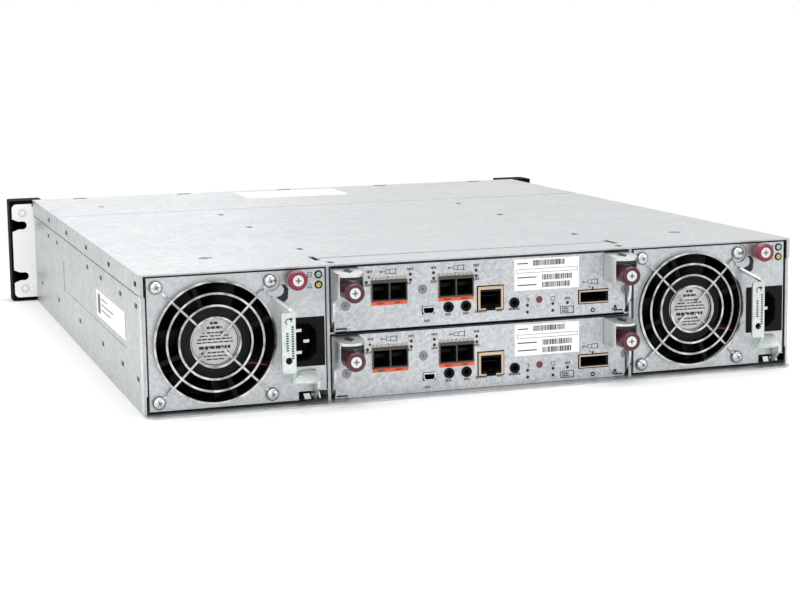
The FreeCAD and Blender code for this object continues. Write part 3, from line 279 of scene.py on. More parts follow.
def sheet_metal(name, dark, middle, light, grain_mm, crystal_mm, rough, relief, metal=0.85):
    """Coated sheet steel: grains of zinc shift its grey and its gloss, and fine pitting breaks the shine."""
    made, tree, shader, place = finish_named(name, {"Metallic": metal})
    crystals = node(tree, "ShaderNodeTexVoronoi", {"feature": "F1"},
                    {"Scale": 1 / (crystal_mm * MM), "Randomness": 1.0}, {"Vector": place})
    shade = node(tree, "ShaderNodeSeparateColor", links={"Color": crystals.outputs["Color"]})
    grain = node(tree, "ShaderNodeTexNoise", {},
                 {"Scale": 1 / (grain_mm * MM), "Detail": 5.0, "Roughness": 0.7}, {"Vector": place})
    cloud = node(tree, "ShaderNodeTexNoise", {},
                 {"Scale": 1 / (ZINC_CLOUD * MM), "Detail": 3.0, "Roughness": 0.6}, {"Vector": place})
    mixed = node(tree, "ShaderNodeMath", {"operation": "MULTIPLY_ADD"}, {1: 0.35},
                 {0: shade.outputs["Red"], 2: grain.outputs["Fac"]})
    mixed = node(tree, "ShaderNodeMath", {"operation": "MULTIPLY_ADD"}, {1: 0.5},
                 {0: cloud.outputs["Fac"], 2: mixed.outputs["Value"]})
    level = node(tree, "ShaderNodeMapRange", {}, {"From Min": ZINC_SPAN[0], "From Max": ZINC_SPAN[1]},
                 {"Value": mixed.outputs["Value"]}).outputs["Result"]
    surface(shader, level, ((0.0, dark), (0.5, middle), (1.0, light)), level, (rough + 0.08, rough - 0.08),
            grain.outputs["Fac"], relief, 0.04)
    return made


def grey_up_to(finish, code, start, end):
    """Gives a sheet another grey below a distance from the face, blending between start and end in mm."""
    tree = finish.node_tree
    shader = tree.nodes["Principled BSDF"]
    bright = shader.inputs["Base Color"].links[0].from_socket
    place = node(tree, "ShaderNodeTexCoord").outputs["Object"]
    depth = node(tree, "ShaderNodeSeparateXYZ", links={"Vector": place}).outputs["Y"]
    share = node(tree, "ShaderNodeMapRange", {}, {"From Min": start * MM, "From Max": end * MM},
                 {"Value": depth}).outputs["Result"]
    blend = node(tree, "ShaderNodeMix", {"data_type": "RGBA"}, {6: linear(code)}, {0: share, 7: bright})
    feed(shader, {"Base Color": blend.outputs[2]})


def moulded(name, dark, light, grain_mm, rough, relief, values=None):
    """Moulded plastic, paint or paper: a fine even texture with slow changes of shade."""
    made, tree, shader, place = finish_named(name, values or {})
    grain = node(tree, "ShaderNodeTexNoise", {}, {"Scale": 1 / (grain_mm * MM), "Detail": 4.0},
                 {"Vector": place}).outputs["Fac"]
    cloud = node(tree, "ShaderNodeTexNoise", {}, {"Scale": 1 / (PLASTIC_CLOUD * MM), "Detail": 2.0},
                 {"Vector": place}).outputs["Fac"]
    mixed = node(tree, "ShaderNodeMath", {"operation": "ADD"}, {}, {0: grain, 1: cloud})
    level = node(tree, "ShaderNodeMapRange", {}, {"From Min": PLASTIC_SPAN[0], "From Max": PLASTIC_SPAN[1]},
                 {"Value": mixed.outputs["Value"]}).outputs["Result"]
    surface(shader, level, ((0.0, dark), (1.0, light)), grain, (rough - 0.07, rough + 0.07), grain, relief,
            0.03)
    return made


def plated(name, dark, light, rough, brush_mm=0.5):
    """Plated metal: bright, with the faint fine lines that drawing or turning leaves."""
    made, tree, shader, place = finish_named(name, {"Metallic": 1.0})
    stretched = node(tree, "ShaderNodeMapping", {}, {"Scale": (1.0, 6.0, 1.0)}, {"Vector": place})
    lines = node(tree, "ShaderNodeTexNoise", {}, {"Scale": 1 / (brush_mm * MM), "Detail": 4.0},
                 {"Vector": stretched.outputs["Vector"]}).outputs["Fac"]
    surface(shader, lines, ((0.3, dark), (0.7, light)), lines, (rough - 0.06, rough + 0.08))
    return made


# Hot-dip galvanised steel sheet: the grey of the case, speckled by zinc crystals a few millimetres wide.
galvanised = sheet_metal("galvanised_steel_sheet", "#AFB2B4", "#BBBEC0", "#C5C7C9", 1.4, 3.2, 0.42, 0.25)
# Galvanised controller faceplates: the same zinc, with smaller crystals and more contrast than the covers.
faceplate_zinc = sheet_metal("galvanised_steel_faceplate", "#A9ADB0", "#BFC2C5", "#D1D4D5", 0.9, 1.9, 0.42,
                             0.4)
# Galvanised power module faces: a shade darker and finer, nearly even from a distance.
power_zinc = sheet_metal("galvanised_steel_power_module", "#B0B5B8", "#C0C4C6", "#CDD1D2", 0.8, 1.7, 0.44,
                         0.3)
# Rolled steel of the rack ears: the brightest sheet, almost without crystals.
ear_zinc = sheet_metal("bright_zinc_rack_ear", "#F3F4F5", "#F9F9FA", "#FDFDFD", 1.2, 3.0, 0.4, 0.15, 0.3)
# Electro-galvanised lever sheet: smooth and bright, with a slight cool green tint.
lever_look = ("#BDC8C6", "#D0D9D7", "#DFE6E4", 0.9, 3.0, 0.33, 0.2)
lever_zinc = sheet_metal("electro_galvanised_lever_sheet", *lever_look)
# The power levers' sheet, with painted shade: their flat feet are painted the darker grey of the faces that
# they lie on, and the rest stays bright.
power_lever_painted_feet = sheet_metal("electro_galvanised_power_lever", *lever_look)
grey_up_to(power_lever_painted_feet, "#BCC0C2", 257.3, 257.7)
# Painted shade: a dark zinc grey put where the sheet lies in deep shade, under the hoods and behind the
# power levers.
painted_shade_zinc = plated("shaded_zinc_sheet", "#2C2E30", "#46494B", 0.55)
# Nickel-plated wire of the finger guards, with painted reflections: long brighter and darker stretches along
# it stand for the glints and dark reflections on the wire.
guard_nickel_glints = plated("drawn_nickel_guard_wire", "#77797B", "#E6E7E8", 0.2, 7.0)
# Stamped steel of the host port cages: duller and darker than the spring strip round them.
cage_steel = plated("stamped_steel_port_cage", "#3C3B36", "#625F58", 0.42)
# Nickel-plated steel: the bright screws, rims and pins.
nickel = plated("nickel_plated_steel", "#B9BBBC", "#E3E4E4", 0.24)
# Bright stamped hoods of the controllers' levers: nearly white in soft light.
hood_nickel = plated("nickel_plated_hood_sheet", "#C2C4C6", "#EAEBEB", 0.34, 0.8)
# Copper alloy socket shells with a thin warm plating.
shell_gold = plated("copper_alloy_socket_shell", "#B59F86", "#DCC8AE", 0.36)
# Stainless spring strip round the host ports.
spring_steel = plated("stainless_spring_strip", "#8E8A82", "#BDB9B0", 0.4)
# Glass-filled black plastic of the fans, inlets and sockets: satin, with a fine moulded grain.
black_plastic = moulded("moulded_black_glass_filled_nylon", "#050506", "#0C0D0D", 0.5, 0.62, 0.25,
                        {"Specular IOR Level": 0.16})
# Black ABS of the ear caps: dull, so that it stays black in bright light.
cap_plastic = moulded("moulded_black_ear_cap_abs", "#030304", "#080809", 0.6, 0.75, 0.25,
                      {"Specular IOR Level": 0.06})
# The fan motor's base: a dark slate plastic, a little lighter than the blades.
motor_plastic = moulded("moulded_slate_motor_base", "#0C0D11", "#14151B", 0.6, 0.6, 0.2,
                        {"Specular IOR Level": 0.2})
# Painted shade: a dull black put where seams, gaps, notches and vents lie in shade, and in the socket
# mouths, where it stands for their black plastic as well as for the shade deep inside.
gap_shade_black = moulded("black_conductive_gasket_foam", "#050506", "#0D0D0E", 0.9, 0.9, 0.5,
                 {"Specular IOR Level": 0.1})
# Charcoal plastic of the drive latches, chips and battery packs: satin, a little lighter than the caps.
charcoal = moulded("moulded_charcoal_drive_latch", "#1E2023", "#2B2D31", 0.5, 0.48, 0.2)
# Crimson sleeves of the power modules' knobs: glossy dyed plastic.
crimson = moulded("moulded_crimson_knob_plastic", "#74102A", "#8E1C36", 0.8, 0.3, 0.1, {"Coat Weight": 0.3})
# Burgundy sleeves of the controllers' knobs.
burgundy = moulded("moulded_burgundy_knob_plastic", "#3D0A17", "#541525", 0.8, 0.34, 0.1,
                   {"Coat Weight": 0.2})
# Nickel-plated pressed cores of the knobs, pale and fairly matt, so that they look nearly white.
core_white = plated("matt_nickel_knob_core", "#CFD0D0", "#F0F0EF", 0.42)
# Painted shade: a dark grey for the shaded bottom of a pressed recess and the shade round screw heads.
shadow_grey = plated("pressed_recess_steel", "#5B5D5F", "#85878A", 0.5)
# Painted shade: a darker zinc grey along the seam between the two covers.
seam_shade_grey = moulded("darkened_zinc_cover_seam", "#6F7275", "#84878A", 0.9, 0.7, 0.2)
# Green solder mask over glass fibre: glossy and slightly mottled.
solder_mask = moulded("green_solder_mask_board", "#12472A", "#1C6038", 1.5, 0.35, 0.3)
# White coated paper of the labels, faintly uneven.
label_paper = moulded("white_coated_label_paper", "#F6F6F5", "#FDFDFC", 0.7, 0.55, 0.1)
# Silver-grey film of the round labels on the fans' hubs, duller than paper.
hub_film = moulded("silver_grey_hub_label_film", "#BDBEBE", "#CFD0D0", 0.7, 0.5, 0.1)
# Maroon ink of the small prints on the orange strips.
maroon_ink = moulded("screen_printed_maroon_ink", "#6E2016", "#83301F", 0.4, 0.6, 0.1)
# Dull zinc of the flush screws in the faceplates, darker than the sheet round them.
screw_zinc = plated("dull_zinc_flush_screw", "#6C6E71", "#9EA0A2", 0.34)
# Screen-printed black ink on the faceplates.
black_ink = moulded("screen_printed_black_ink", "#141516", "#242526", 0.4, 0.6, 0.1)
# Screen-printed orange-red ink under the host ports.
orange_ink = moulded("screen_printed_orange_ink", "#D9532F", "#EA6B44", 0.4, 0.55, 0.1)
# Unlit green and amber lamp lenses: polished translucent plastic.
green_lens = moulded("polished_green_lamp_lens", "#7FA893", "#A5C9B5", 2.0, 0.12, 0.0, {"Coat Weight": 0.6})
amber_lens = moulded("polished_amber_lamp_lens", "#B09A3E", "#D2BD62", 2.0, 0.12, 0.0, {"Coat Weight": 0.6})
# The small maroon button in each faceplate.
maroon = moulded("moulded_maroon_button", "#5A2428", "#743438", 0.5, 0.5, 0.1)
# Powder-coated steel of the blanks in the empty drive bays.
dark_paint = moulded("powder_coated_charcoal_steel", "#2A2C2F", "#3A3D41", 0.5, 0.5, 0.4)
# Machined aluminium of the drives and the controllers' heat sinks.
drive_alloy = plated("machined_aluminium_drive", "#9DA1A4", "#C0C3C5", 0.42)
# Dark red insulation of one of the fan's two short leads.
red_lead = moulded("red_vinyl_wire_jacket", "#5C0E18", "#761A24", 0.6, 0.45, 0.05)


# Finishes of the construction's own pieces

# Words in the pieces' names with their finishes: the first that fits counts, and bare sheet is the rest.
FINISHES = (
    ("chassis_tray", galvanised), ("heat_sinks", drive_alloy), ("board", solder_mask),
    ("fan_frame", black_plastic), ("fan_rotor", black_plastic), ("inlet", black_plastic),
    ("lamps", black_plastic), ("finger_guard", guard_nickel_glints), ("guard_screws", nickel),
    ("thumbscrew", crimson), ("_screw_", burgundy), ("_lever_", hood_nickel), ("_lever", power_lever_painted_feet),
    ("port_cages", cage_steel), ("connectors", black_plastic), ("ear_cap", cap_plastic),
    ("rack_ears", ear_zinc), ("blanks", dark_paint), ("latch", charcoal), ("carrier", drive_alloy),
    ("_tray", faceplate_zinc), ("_case", power_zinc))

for name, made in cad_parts.items():
    finish = next((look for word, look in FINISHES if word in name), galvanised)
    if made.material_slots:
        for slot in made.material_slots:
            slot.material = finish
    else:
        made.data.materials.append(finish)


# Repeated pieces

def repeat(name, body, finish, shape, places, turn=0.0):
    """Copies a small shape to every place with a node tree, as one plain mesh on its body."""
    pattern = shape.object(name + "_pattern")
    spots = bpy.data.meshes.new(name + "_spots")
    spots.from_pydata([Vector(p) * MM for p in places], [], [])
    made = linked(name, spots)
    tree = bpy.data.node_groups.new(name + "_layout", "GeometryNodeTree")
    sides = tree.interface
    keys = {}
    for word, kind in (("Places", "Geometry"), ("Shape", "Object"), ("Finish", "Material"),
                       ("Turn", "Float")):
        keys[word] = sides.new_socket(name=word, in_out="INPUT", socket_type="NodeSocket" + kind).identifier
    sides.new_socket(name="Pieces", in_out="OUTPUT", socket_type="NodeSocketGeometry")
    given = node(tree, "NodeGroupInput")
    source = node(tree, "GeometryNodeObjectInfo", {}, {}, {"Object": given.outputs["Shape"]})
    around = node(tree, "ShaderNodeCombineXYZ", {}, {}, {"Y": given.outputs["Turn"]})
    copies = node(tree, "GeometryNodeInstanceOnPoints", {}, {},
                  {"Points": given.outputs["Places"], "Instance": source.outputs["Geometry"],
                   "Rotation": around.outputs["Vector"]})
    real = node(tree, "GeometryNodeRealizeInstances", {}, {}, {"Geometry": copies.outputs["Instances"]})
    coloured = node(tree, "GeometryNodeSetMaterial", {}, {},
                    {"Geometry": real.outputs["Geometry"], "Material": given.outputs["Finish"]})
    node(tree, "NodeGroupOutput", {}, {}, {"Pieces": coloured.outputs["Geometry"]})
    layout = made.modifiers.new("layout", "NODES")
    layout.node_group = tree
    layout[keys["Shape"]] = pattern
    layout[keys["Finish"]] = finish
    layout[keys["Turn"]] = math.radians(turn)
    seen = made.evaluated_get(bpy.context.evaluated_depsgraph_get())
    plain = bpy.data.meshes.new_from_object(seen)
    made.modifiers.remove(layout)
    made.data = plain
    plain.name = name
    bpy.data.meshes.remove(spots)
    bpy.data.objects.remove(pattern)
    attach(made, body)
    return made


def cross_cut(middle, y, reach, width, depth):
    """The driver's cross recess in painted shade, as two dark bars that stand a hair above the head."""
    shape = Shape()
    for a, b in ((reach, width), (width, reach)):
        shape.plate((middle[0] - a, middle[1] - b), (middle[0] + a, middle[1] + b), y, depth)
    return shape


def dome(radius, height):
    """The rounded profile of a screw head, from its rim at 0 to its top."""
    steps = 6
    rise = [(radius * math.cos(math.pi / 2 * i / steps), height * math.sin(math.pi / 2 * i / steps))
            for i in range(1, steps)]
    return [(radius, 0.0)] + rise + [(0.0, height)]


# Knobs

def knob(label, body, finish, middle, start, end, radius, replaced):
    """A thumbscrew's coloured sleeve, narrower at its inner end, and its pale core with a cross recess in
    painted shade.
    """
    bore = 3.7
    taper = radius * 0.9
    sleeve = Shape().lathe([(bore, start), (taper - 0.6, start), (taper, start + 0.6),
                            (radius - 0.1, end - 3.2), (radius, end - 1.4), (radius - 0.25, end - 0.6),
                            (radius - 0.9, end), (bore + 0.35, end), (bore, end - 0.3), (bore, start)],
                           middle)
    piece = fit(label + "_sleeve", body, finish, sleeve)
    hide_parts(replaced)
    core_end = end - 0.35
    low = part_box(replaced)[0].y / MM
    core = Shape().lathe([(0, low), (1.75, low), (1.75, start - 1.2), (2.5, start - 1.0), (2.5, start + 0.4),
                          (bore - 0.05, start + 0.6), (bore - 0.05, core_end - 0.2), (bore - 0.3, core_end),
                          (0, core_end)], middle)
    fit(label + "_core", body, core_white, core)
    # Painted shade: the cross recess and the round hole in its middle are dark marks on the core.
    recess = cross_cut(middle, core_end - 0.2, 1.9, 0.42, 0.26)
    recess.disc(middle, 0.95, core_end - 0.2, 0.27, 16)
    fit(label + "_recess", body, shadow_grey, recess)


for side, x in (("left", 126.7), ("right", -199.3)):
    knob(side + "_power_knob", side + "_power_thumbscrew", crimson, (x, 80.5),
         POWER_FACE + 4.0, 267.25, 6.25, "power_%s_thumbscrew" % side)
for level, drop in LEVELS:
    for side, x in KNOBS:
        knob("%s_%s_knob" % (level, side), "%s_%s_thumbscrew" % (level, side), burgundy,
             (x, 72.3 - drop), 259.75, 279.75, 6.3, "controller_%s_screw_%s" % (level, side))


# Power modules, each piece placed from its module's edge on the left

FAN = (42.2, 44.2)
GUARD_SCREWS = (-35.75, 35.75)
HUB_LABEL = 255.16
# Rows of marks on a hub's label: height over its middle, half of the width, and thickness.
HUB_ROWS = ((11.6, 2.6, 1.6), (8.8, 4.8, 1.6), (5.6, 7.4, 0.9), (3.6, 9.4, 0.8), (1.6, 10.8, 0.9),
            (-0.4, 11.4, 0.8), (-3.6, 10.0, 1.9), (-6.8, 8.8, 0.9), (-9.0, 7.4, 0.8), (-11.0, 5.4, 0.8))
LAMP_IN = 109.3
INLET = (98.9, 40.0)
POWER_WIDTH = 114.0
# Painted shade: the outline of the dark bow between a power lever's slanted leg and the flat sheet behind
# it.
LEVER_SHADE_OUTLINE = ((83.8, 77.6), (85.2, 76.9), (86.4, 75.0), (86.2, 72.4), (84.6, 70.6), (81.4, 69.6),
                (86.4, 66.2), (88.8, 68.4), (89.3, 74.6), (87.2, 77.4))
# A fan lead's way from the hub: how far right of its middle, its depth, and how far below.
LEAD = ((18.0, 253.4, 15.2), (23.0, 253.9, 15.0), (29.0, 253.2, 16.4), (36.0, 251.4, 18.4))
# The bright claws in the notches of a power lever's foot.
CLAWS = (((97.9, 7.1), (101.9, 7.1), (102.8, 3.5), (98.8, 3.5)),
         ((107.3, 8.1), (108.2, 8.1), (109.4, 3.6), (108.1, 3.6)))


def guard_screws(side, body, hub):
    """The pan-head screws that hold the finger guard, with their recesses and the shade round them, both in
    painted shade.
    """
    held = "power_%s_guard_screws" % side
    shank_end, head_top = (corner.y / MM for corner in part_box(held))
    rise = 2.2
    seat = head_top - rise
    screws = [(hub[0] + a, seat, hub[1] + b) for a in GUARD_SCREWS for b in GUARD_SCREWS]
    profile = [(0, shank_end - seat), (1.75, shank_end - seat), (1.75, 0.0)] + dome(3.9, rise)
    head = Shape().lathe(profile, (0, 0), 32)
    heads = repeat(side + "_pan_heads", body, nickel, head, screws)
    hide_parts(held)
    cut = cross_cut((0, 0), 1.8, 1.6, 0.36, 0.42)
    repeat(side + "_pan_head_recesses", body, shadow_grey, cut, screws, 32)
    # Painted shade: a dark ring round each head's seat.
    rim = Shape().ring((0, 0), 3.85, 4.2, -0.25, 0.3, 32)
    repeat(side + "_pan_head_shadows", body, shadow_grey, rim, screws)


def hub_parts(side, body, hub):
    """The fan motor's base, and its round label with rows of short bars as long as small print."""
    base = Shape().lathe([(0, 254.26), (22.4, 254.26), (22.4, 254.7), (22.0, 254.9), (16.6, 254.9),
                          (16.2, 255.0), (0, 255.0)], hub)
    fit(side + "_motor_base", body, motor_plastic, base)
    fit(side + "_hub_label", body, hub_film, Shape().disc(hub, 15.2, HUB_LABEL - 0.15, 0.15))
    hub_dice = random.Random(3)
    ink = Shape()
    for z, half, thick in HUB_ROWS:
        x = hub[0] + half
        while x > hub[0] - half:
            word = min(hub_dice.uniform(1.2, 3.6), x - hub[0] + half)
            ink.plate((x - word, hub[1] + z - thick / 2), (x, hub[1] + z + thick / 2), HUB_LABEL)
            x -= word + 0.5
    ink.ring(hub, 14.3, 14.75, HUB_LABEL, PRINT)
    fit(side + "_hub_label_marks", body, black_ink, ink)


def status_lamps(side, body, x):
    """The green and amber lamps of a power module, their rims and the small signs beside them."""
    rims = Shape()
    for colour, z, finish in (("green", 82.2, green_lens), ("amber", 75.7, amber_lens)):
        lens = Shape().lathe([(0, 249.2), (1.75, 249.2), (1.75, 255.5), (1.5, 255.72), (1.0, 255.88),
                              (0, 255.95)], (x, z), 32)
        made = fit("%s_%s_lamp" % (side, colour), body, finish, lens)
        if colour == "green":
            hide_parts("power_%s_lamps" % side)
        rims.ring((x, z), 1.8, 2.45, 255.26, 0.5, 36)
    fit(side + "_lamp_rims", body, black_plastic, rims)
    icons = Shape().frame_plate((x + 4.1, 80.6), (x + 7.3, 83.8), 0.35, POWER_FACE)
    icons.plate((x + 4.9, 82.0), (x + 6.5, 82.4), POWER_FACE)
    for foot, toe in ((4.1, 4.5), (7.3, 6.9)):
        icons.prism([(x + foot, 74.2), (x + toe, 74.2), (x + 5.8, 77.0), (x + 5.6, 77.2)], POWER_FACE)
    icons.plate((x + 4.4, 74.0), (x + 7.0, 74.35), POWER_FACE)
    fit(side + "_lamp_icons", body, black_ink, icons)


def face_parts(side, body, edge):
    """The inlet's pins, what shows round the lever's foot and leg, with painted shade in the foot's notches
    and by the leg, and painted shade lines at the face's edges.
    """
    pins = Shape()
    for a, b in ((2.5, 7.0), (-2.5, 0.0), (2.5, -7.0)):
        x, z = edge - INLET[0] + a, INLET[1] + b
        pins.box((x - 2.06, 238.5, z - 1.06), (x + 2.06, 252.6, z + 1.06), 0.3)
    fit(side + "_inlet_pins", body, nickel, pins)
    # Painted shade: dark plates on the pivot ears' faces stand for the shade in the notches round the
    # lever's foot.
    pads = Shape()
    for near, far in ((95.1, 103.3), (107.15, 109.55)):
        pads.plate((edge - far, 3.35), (edge - near, 8.45), 254.96, 0.14)
    fit(side + "_pivot_ear_pads", body, gap_shade_black, pads)
    claws = Shape()
    for outline in CLAWS:
        claws.prism([(edge - u, z) for u, z in outline], 255.11, 0.6)
    fit(side + "_pivot_claws", body, nickel, claws)
    # Painted shade: a thin dark plate on the lever stands for the shade between its slanted leg and the
    # sheet behind it.
    relief = Shape().prism([(edge - u, z) for u, z in LEVER_SHADE_OUTLINE], 257.16, 0.05)
    fit(side + "_lever_relief", side + "_power_lever", painted_shade_zinc, relief)
    far = edge - POWER_WIDTH
    # Painted shade: dark strips along the face's edges stand for the shade in the gaps round the module.
    edges = Shape().plate((edge - 0.65, 3.2), (edge - 0.02, 86.5), POWER_FACE, 0.1)
    edges.plate((far + 0.02, 8.8), (far + 0.65, 86.5), POWER_FACE, 0.1)
    edges.plate((far + 0.65, 85.85), (edge - 0.65, 86.48), POWER_FACE, 0.1)
    fit(side + "_face_edge_gaskets", body, gap_shade_black, edges)


def fan_leads(side, body, hub):
    """The fan's two short leads, from the motor's base to the frame."""
    for number, finish, rise in ((1, red_lead, 0.0), (2, black_plastic, 1.6)):
        line = bpy.data.curves.new("%s_lead_%d" % (side, number), "CURVE")
        line.dimensions = "3D"
        line.bevel_depth = 0.65 * MM
        line.bevel_resolution = 3
        spline = line.splines.new("NURBS")
        points = [(hub[0] - a, y, hub[1] - b + rise) for a, y, b in LEAD]
        spline.points.add(len(points) - 1)
        for spot, point in zip(spline.points, points):
            spot.co = (*[c * MM for c in point], 1.0)
        spline.order_u = 3
        spline.use_endpoint_u = True
        carrier = linked("lead_path", line)
        seen = carrier.evaluated_get(bpy.context.evaluated_depsgraph_get())
        tube = linked("%s_fan_lead_%d" % (side, number), bpy.data.meshes.new_from_object(seen))
        bpy.data.objects.remove(carrier)
        for face in tube.data.polygons:
            face.use_smooth = True
        fit(tube.name, body, finish, tube)


for side, edge in POWER_EDGES:
    body = side + "_power_module"
    hub = (edge - FAN[0], FAN[1])
    guard_screws(side, body, hub)
    hub_parts(side, body, hub)
    status_lamps(side, body, edge - LAMP_IN)
    face_parts(side, body, edge)
    fan_leads(side, body, hub)


# Controllers, each piece given at the upper one's height

PORT_PAIRS = (64.05, 18.95)
FINGER_PITCH = 2.725
JACKS = (24.2, 12.2, -21.4)
SOCKET_RIM = 255.36
NETWORK = (-11.75, 2.45)
# Lamp windows and pinholes that show as dots.
DOTS = ((144.3, 75.1), (173.7, 78.7), (173.7, 75.1), (189.4, 78.7), (189.4, 75.1), (218.5, 78.7),
        (218.5, 75.1), (254.0, 53.6), (254.0, 49.1), (272.0, 53.6), (272.0, 49.1), (282.4, 53.6),
        (316.8, 48.9))
SMALL_DOTS = ((328.2, 52.3), (300.5, 62.3), (146.0, 78.2))
SIGNS = ((158.5, 81.2), (204.5, 81.2), (298.5, 66.5))
# Short words, as how far across, how high, and how many letters.
WORDS = ((146.6, 81.2, 4), (145.2, 72.6, 4), (173.9, 81.4, 4), (189.6, 81.4, 4), (218.7, 81.4, 4),
         (172.6, 72.4, 4), (189.6, 72.4, 4), (218.7, 72.4, 4), (221.8, 51.0, 8), (234.4, 51.0, 4),
         (282.6, 56.0, 4), (316.8, 46.6, 4), (245.0, 51.2, 8), (199.0, 50.5, 4), (211.5, 50.5, 4),
         (184.6, 47.3, 4))
# Four letters, each as its width and the gap after it.
LETTERS = ((0.55, 0.4), (0.75, 0.35), (0.45, 0.4), (0.7, 0.35))


def port_sign(ink, x, z):
    """A small sign of linked boxes over a port."""
    y = CONTROLLER_FACE
    ink.frame_plate((x - 1.6, z - 1.4), (x + 1.6, z + 1.4), 0.35, y)
    for low, high in (((1.6, -0.2), (4.2, 0.2)), ((-5.4, -1.6), (-1.6, -1.25)), ((-5.4, 1.25), (-1.6, 1.6)),
                      ((-5.8, -2.0), (-5.3, 2.0))):
        ink.plate((x + low[0], z + low[1]), (x + high[0], z + high[1]), y)
    ink.ring((x + 4.6, z), 0.35, 0.75, y, PRINT, 16)
    ink.ring((x, z - 3.4), PINHOLE, 0.5, y, PRINT, 12)


def bars(ink, x, z, widths, height, y=CONTROLLER_FACE):
    """A row of small upright marks that stand for a word or a code."""
    for width, gap in widths:
        ink.plate((x - width, z), (x, z + height), y)
        x -= width + gap


def faceplate_marks(level, body, drop):
    """Dots, signs and short bars in the places of the faceplate's print."""
    face = CONTROLLER_FACE
    ink = Shape(drop)
    for places, radius in ((DOTS, 1.05), (SMALL_DOTS, 0.8)):
        for u, z in places:
            ink.disc((across(u), z), radius, face, 0.12, 24)
    for u, z in SIGNS:
        port_sign(ink, across(u), z)
    for u, z, letters in WORDS:
        bars(ink, across(u) + 0.52 * letters, z - 0.15, LETTERS * (letters // 4), 1.6)
    ink.frame_plate((across(287.0), 46.6), (across(277.2), 51.4), 0.5, face)
    bars(ink, across(278.6), 49.2, ((0.9, 0.4), (0.7, 0.4), (1.0, 0.4), (0.6, 0.4)), 1.2)
    bars(ink, across(278.6), 47.5, ((0.6, 0.4), (1.0, 0.4), (0.8, 0.4), (0.9, 0.4)), 1.1)
    ink.frame_plate((across(273.5), 55.6), (across(270.5), 58.4), 0.3, face)
    ink.ring((across(254.0), 57.0), 0.8, 1.3, face, PRINT, 20, 30, 250)
    ink.ring((across(300.6), 47.6), 0.7, 1.6, face, PRINT, 24)
    fit(level + "_faceplate_marks", body, black_ink, ink)


def host_ports(level, body, drop):
    """Orange strips with their print, spring fingers, partings and inner blocks of the host ports."""
    face = CONTROLLER_FACE
    strips, prints, partings, inner = (Shape(drop) for _ in range(4))
    springs = []
    upright = []
    for x in PORT_PAIRS:
        strips.plate((x - 12.05, 59.9), (x + 12.05, 62.25), face, 0.12)
        for start in (x + 8.4, x - 3.4):
            bars(prints, start, 60.5, ((1.0, 0.3), (0.8, 0.3), (1.2, 0.6), (0.5, 0.2)), 1.1, face + 0.12)
        springs += [(x - 4 * FINGER_PITCH + i * FINGER_PITCH, face + 0.25, 77.0 - drop) for i in range(9)]
        upright += [(x + 11.95, face + 0.25, 64.2 + i * FINGER_PITCH - drop) for i in range(5)]
        partings.box((x - 0.3, 225.0, 62.6), (x + 0.3, face + 0.3, 75.7))
        for port in (x - 6.0, x + 6.0):
            inner.box((port - 4.4, 236.0, 68.4), (port + 4.4, 249.5, 71.2), 0.4)
            inner.box((port - 4.4, 224.0, 62.8), (port + 4.4, 238.0, 68.0), 0.4)
    fit(level + "_port_strips", body, orange_ink, strips)
    fit(level + "_port_strip_prints", body, maroon_ink, prints)
    for kind, places, high, turn in (("top", springs, 0.85, 0.0), ("side", upright, 0.45, 90.0)):
        finger = Shape().box((-0.9, -0.25, -high), (0.9, 0.3, high), 0.15)
        repeat("%s_%s_spring_fingers" % (level, kind), body, spring_steel, finger, places,
               turn)
    fit(level + "_port_partings", body, cage_steel, partings)
    fit(level + "_port_blocks", body, black_plastic, inner)


def round_parts(level, body, drop):
    """The round jacks' collars, the flush screws with painted shade round and in their heads, and the reset
    button.
    """
    face = CONTROLLER_FACE
    rings = Shape(drop)
    for x in JACKS:
        rings.lathe([(3.45, face + 0.1), (3.45, face + 0.75), (3.2, face + 1.0), (2.5, face + 1.0),
                     (1.7, face + 0.5), (1.7, 243.0), (1.75, 243.0), (1.75, face + 0.1), (3.45, face + 0.1)],
                    (x, 55.9), 36)
        rings.disc((x, 55.9), 1.75, 243.0, 0.2, 36)
    fit(level + "_jack_rings", body, black_plastic, rings)
    heads = [(across(u), face, z - drop) for u, z in ((130.3, 60.8), (181.8, 68.6), (324.0, 59.9))]
    sunk = Shape().lathe([(0, -0.4), (2.8, -0.4), (2.8, 0.08), (2.45, 0.16), (0, 0.16)], (0, 0), 32)
    repeat(level + "_sunk_heads", body, screw_zinc, sunk, heads)
    # Painted shade: a dark ring round each sunk head, and its cross recess as dark bars.
    rim = Shape().ring((0, 0), 2.75, 3.05, 0.02, 0.1, 32)
    repeat(level + "_sunk_head_rims", body, shadow_grey, rim, heads)
    cut = cross_cut((0, 0), 0.1, 1.2, 0.3, 0.16)
    repeat(level + "_sunk_head_recesses", body, shadow_grey, cut, heads, 20)
    button = Shape(drop).lathe([(0, face), (2.3, face), (2.3, face + 0.15), (1.9, face + 0.35),
                                (0, face + 0.35)], (across(262.4), 56.9), 32)
    fit(level + "_reset_button", body, maroon, button)


def paper_label(level, body, drop):
    """The white label, with a frame, plain lines and rows of bars."""
    thick = 0.1
    label = Shape(drop).plate((across(290.7), 63.5), (across(245.0), 84.0), CONTROLLER_FACE, thick)
    fit(level + "_blank_label", body, label_paper, label)
    top = CONTROLLER_FACE + thick
    lines = Shape(drop).frame_plate((across(289.6), 74.9), (across(246.5), 77.5), 0.25, top)
    for z, length in ((80.8, 7.5), (71.6, 13.5), (66.6, 13.5)):
        lines.plate((across(247.0 + length), z), (across(247.0), z + 0.7), top)
    for u, z, count in ((258.0, 79.4, 26), (264.5, 69.8, 22), (264.5, 64.8, 22)):
        widths = [(random.choice((0.3, 0.5, 0.8)), random.choice((0.3, 0.5))) for _ in range(count)]
        bars(lines, across(u), z, widths, 3.6, top)
    fit(level + "_label_marks", body, black_ink, lines)


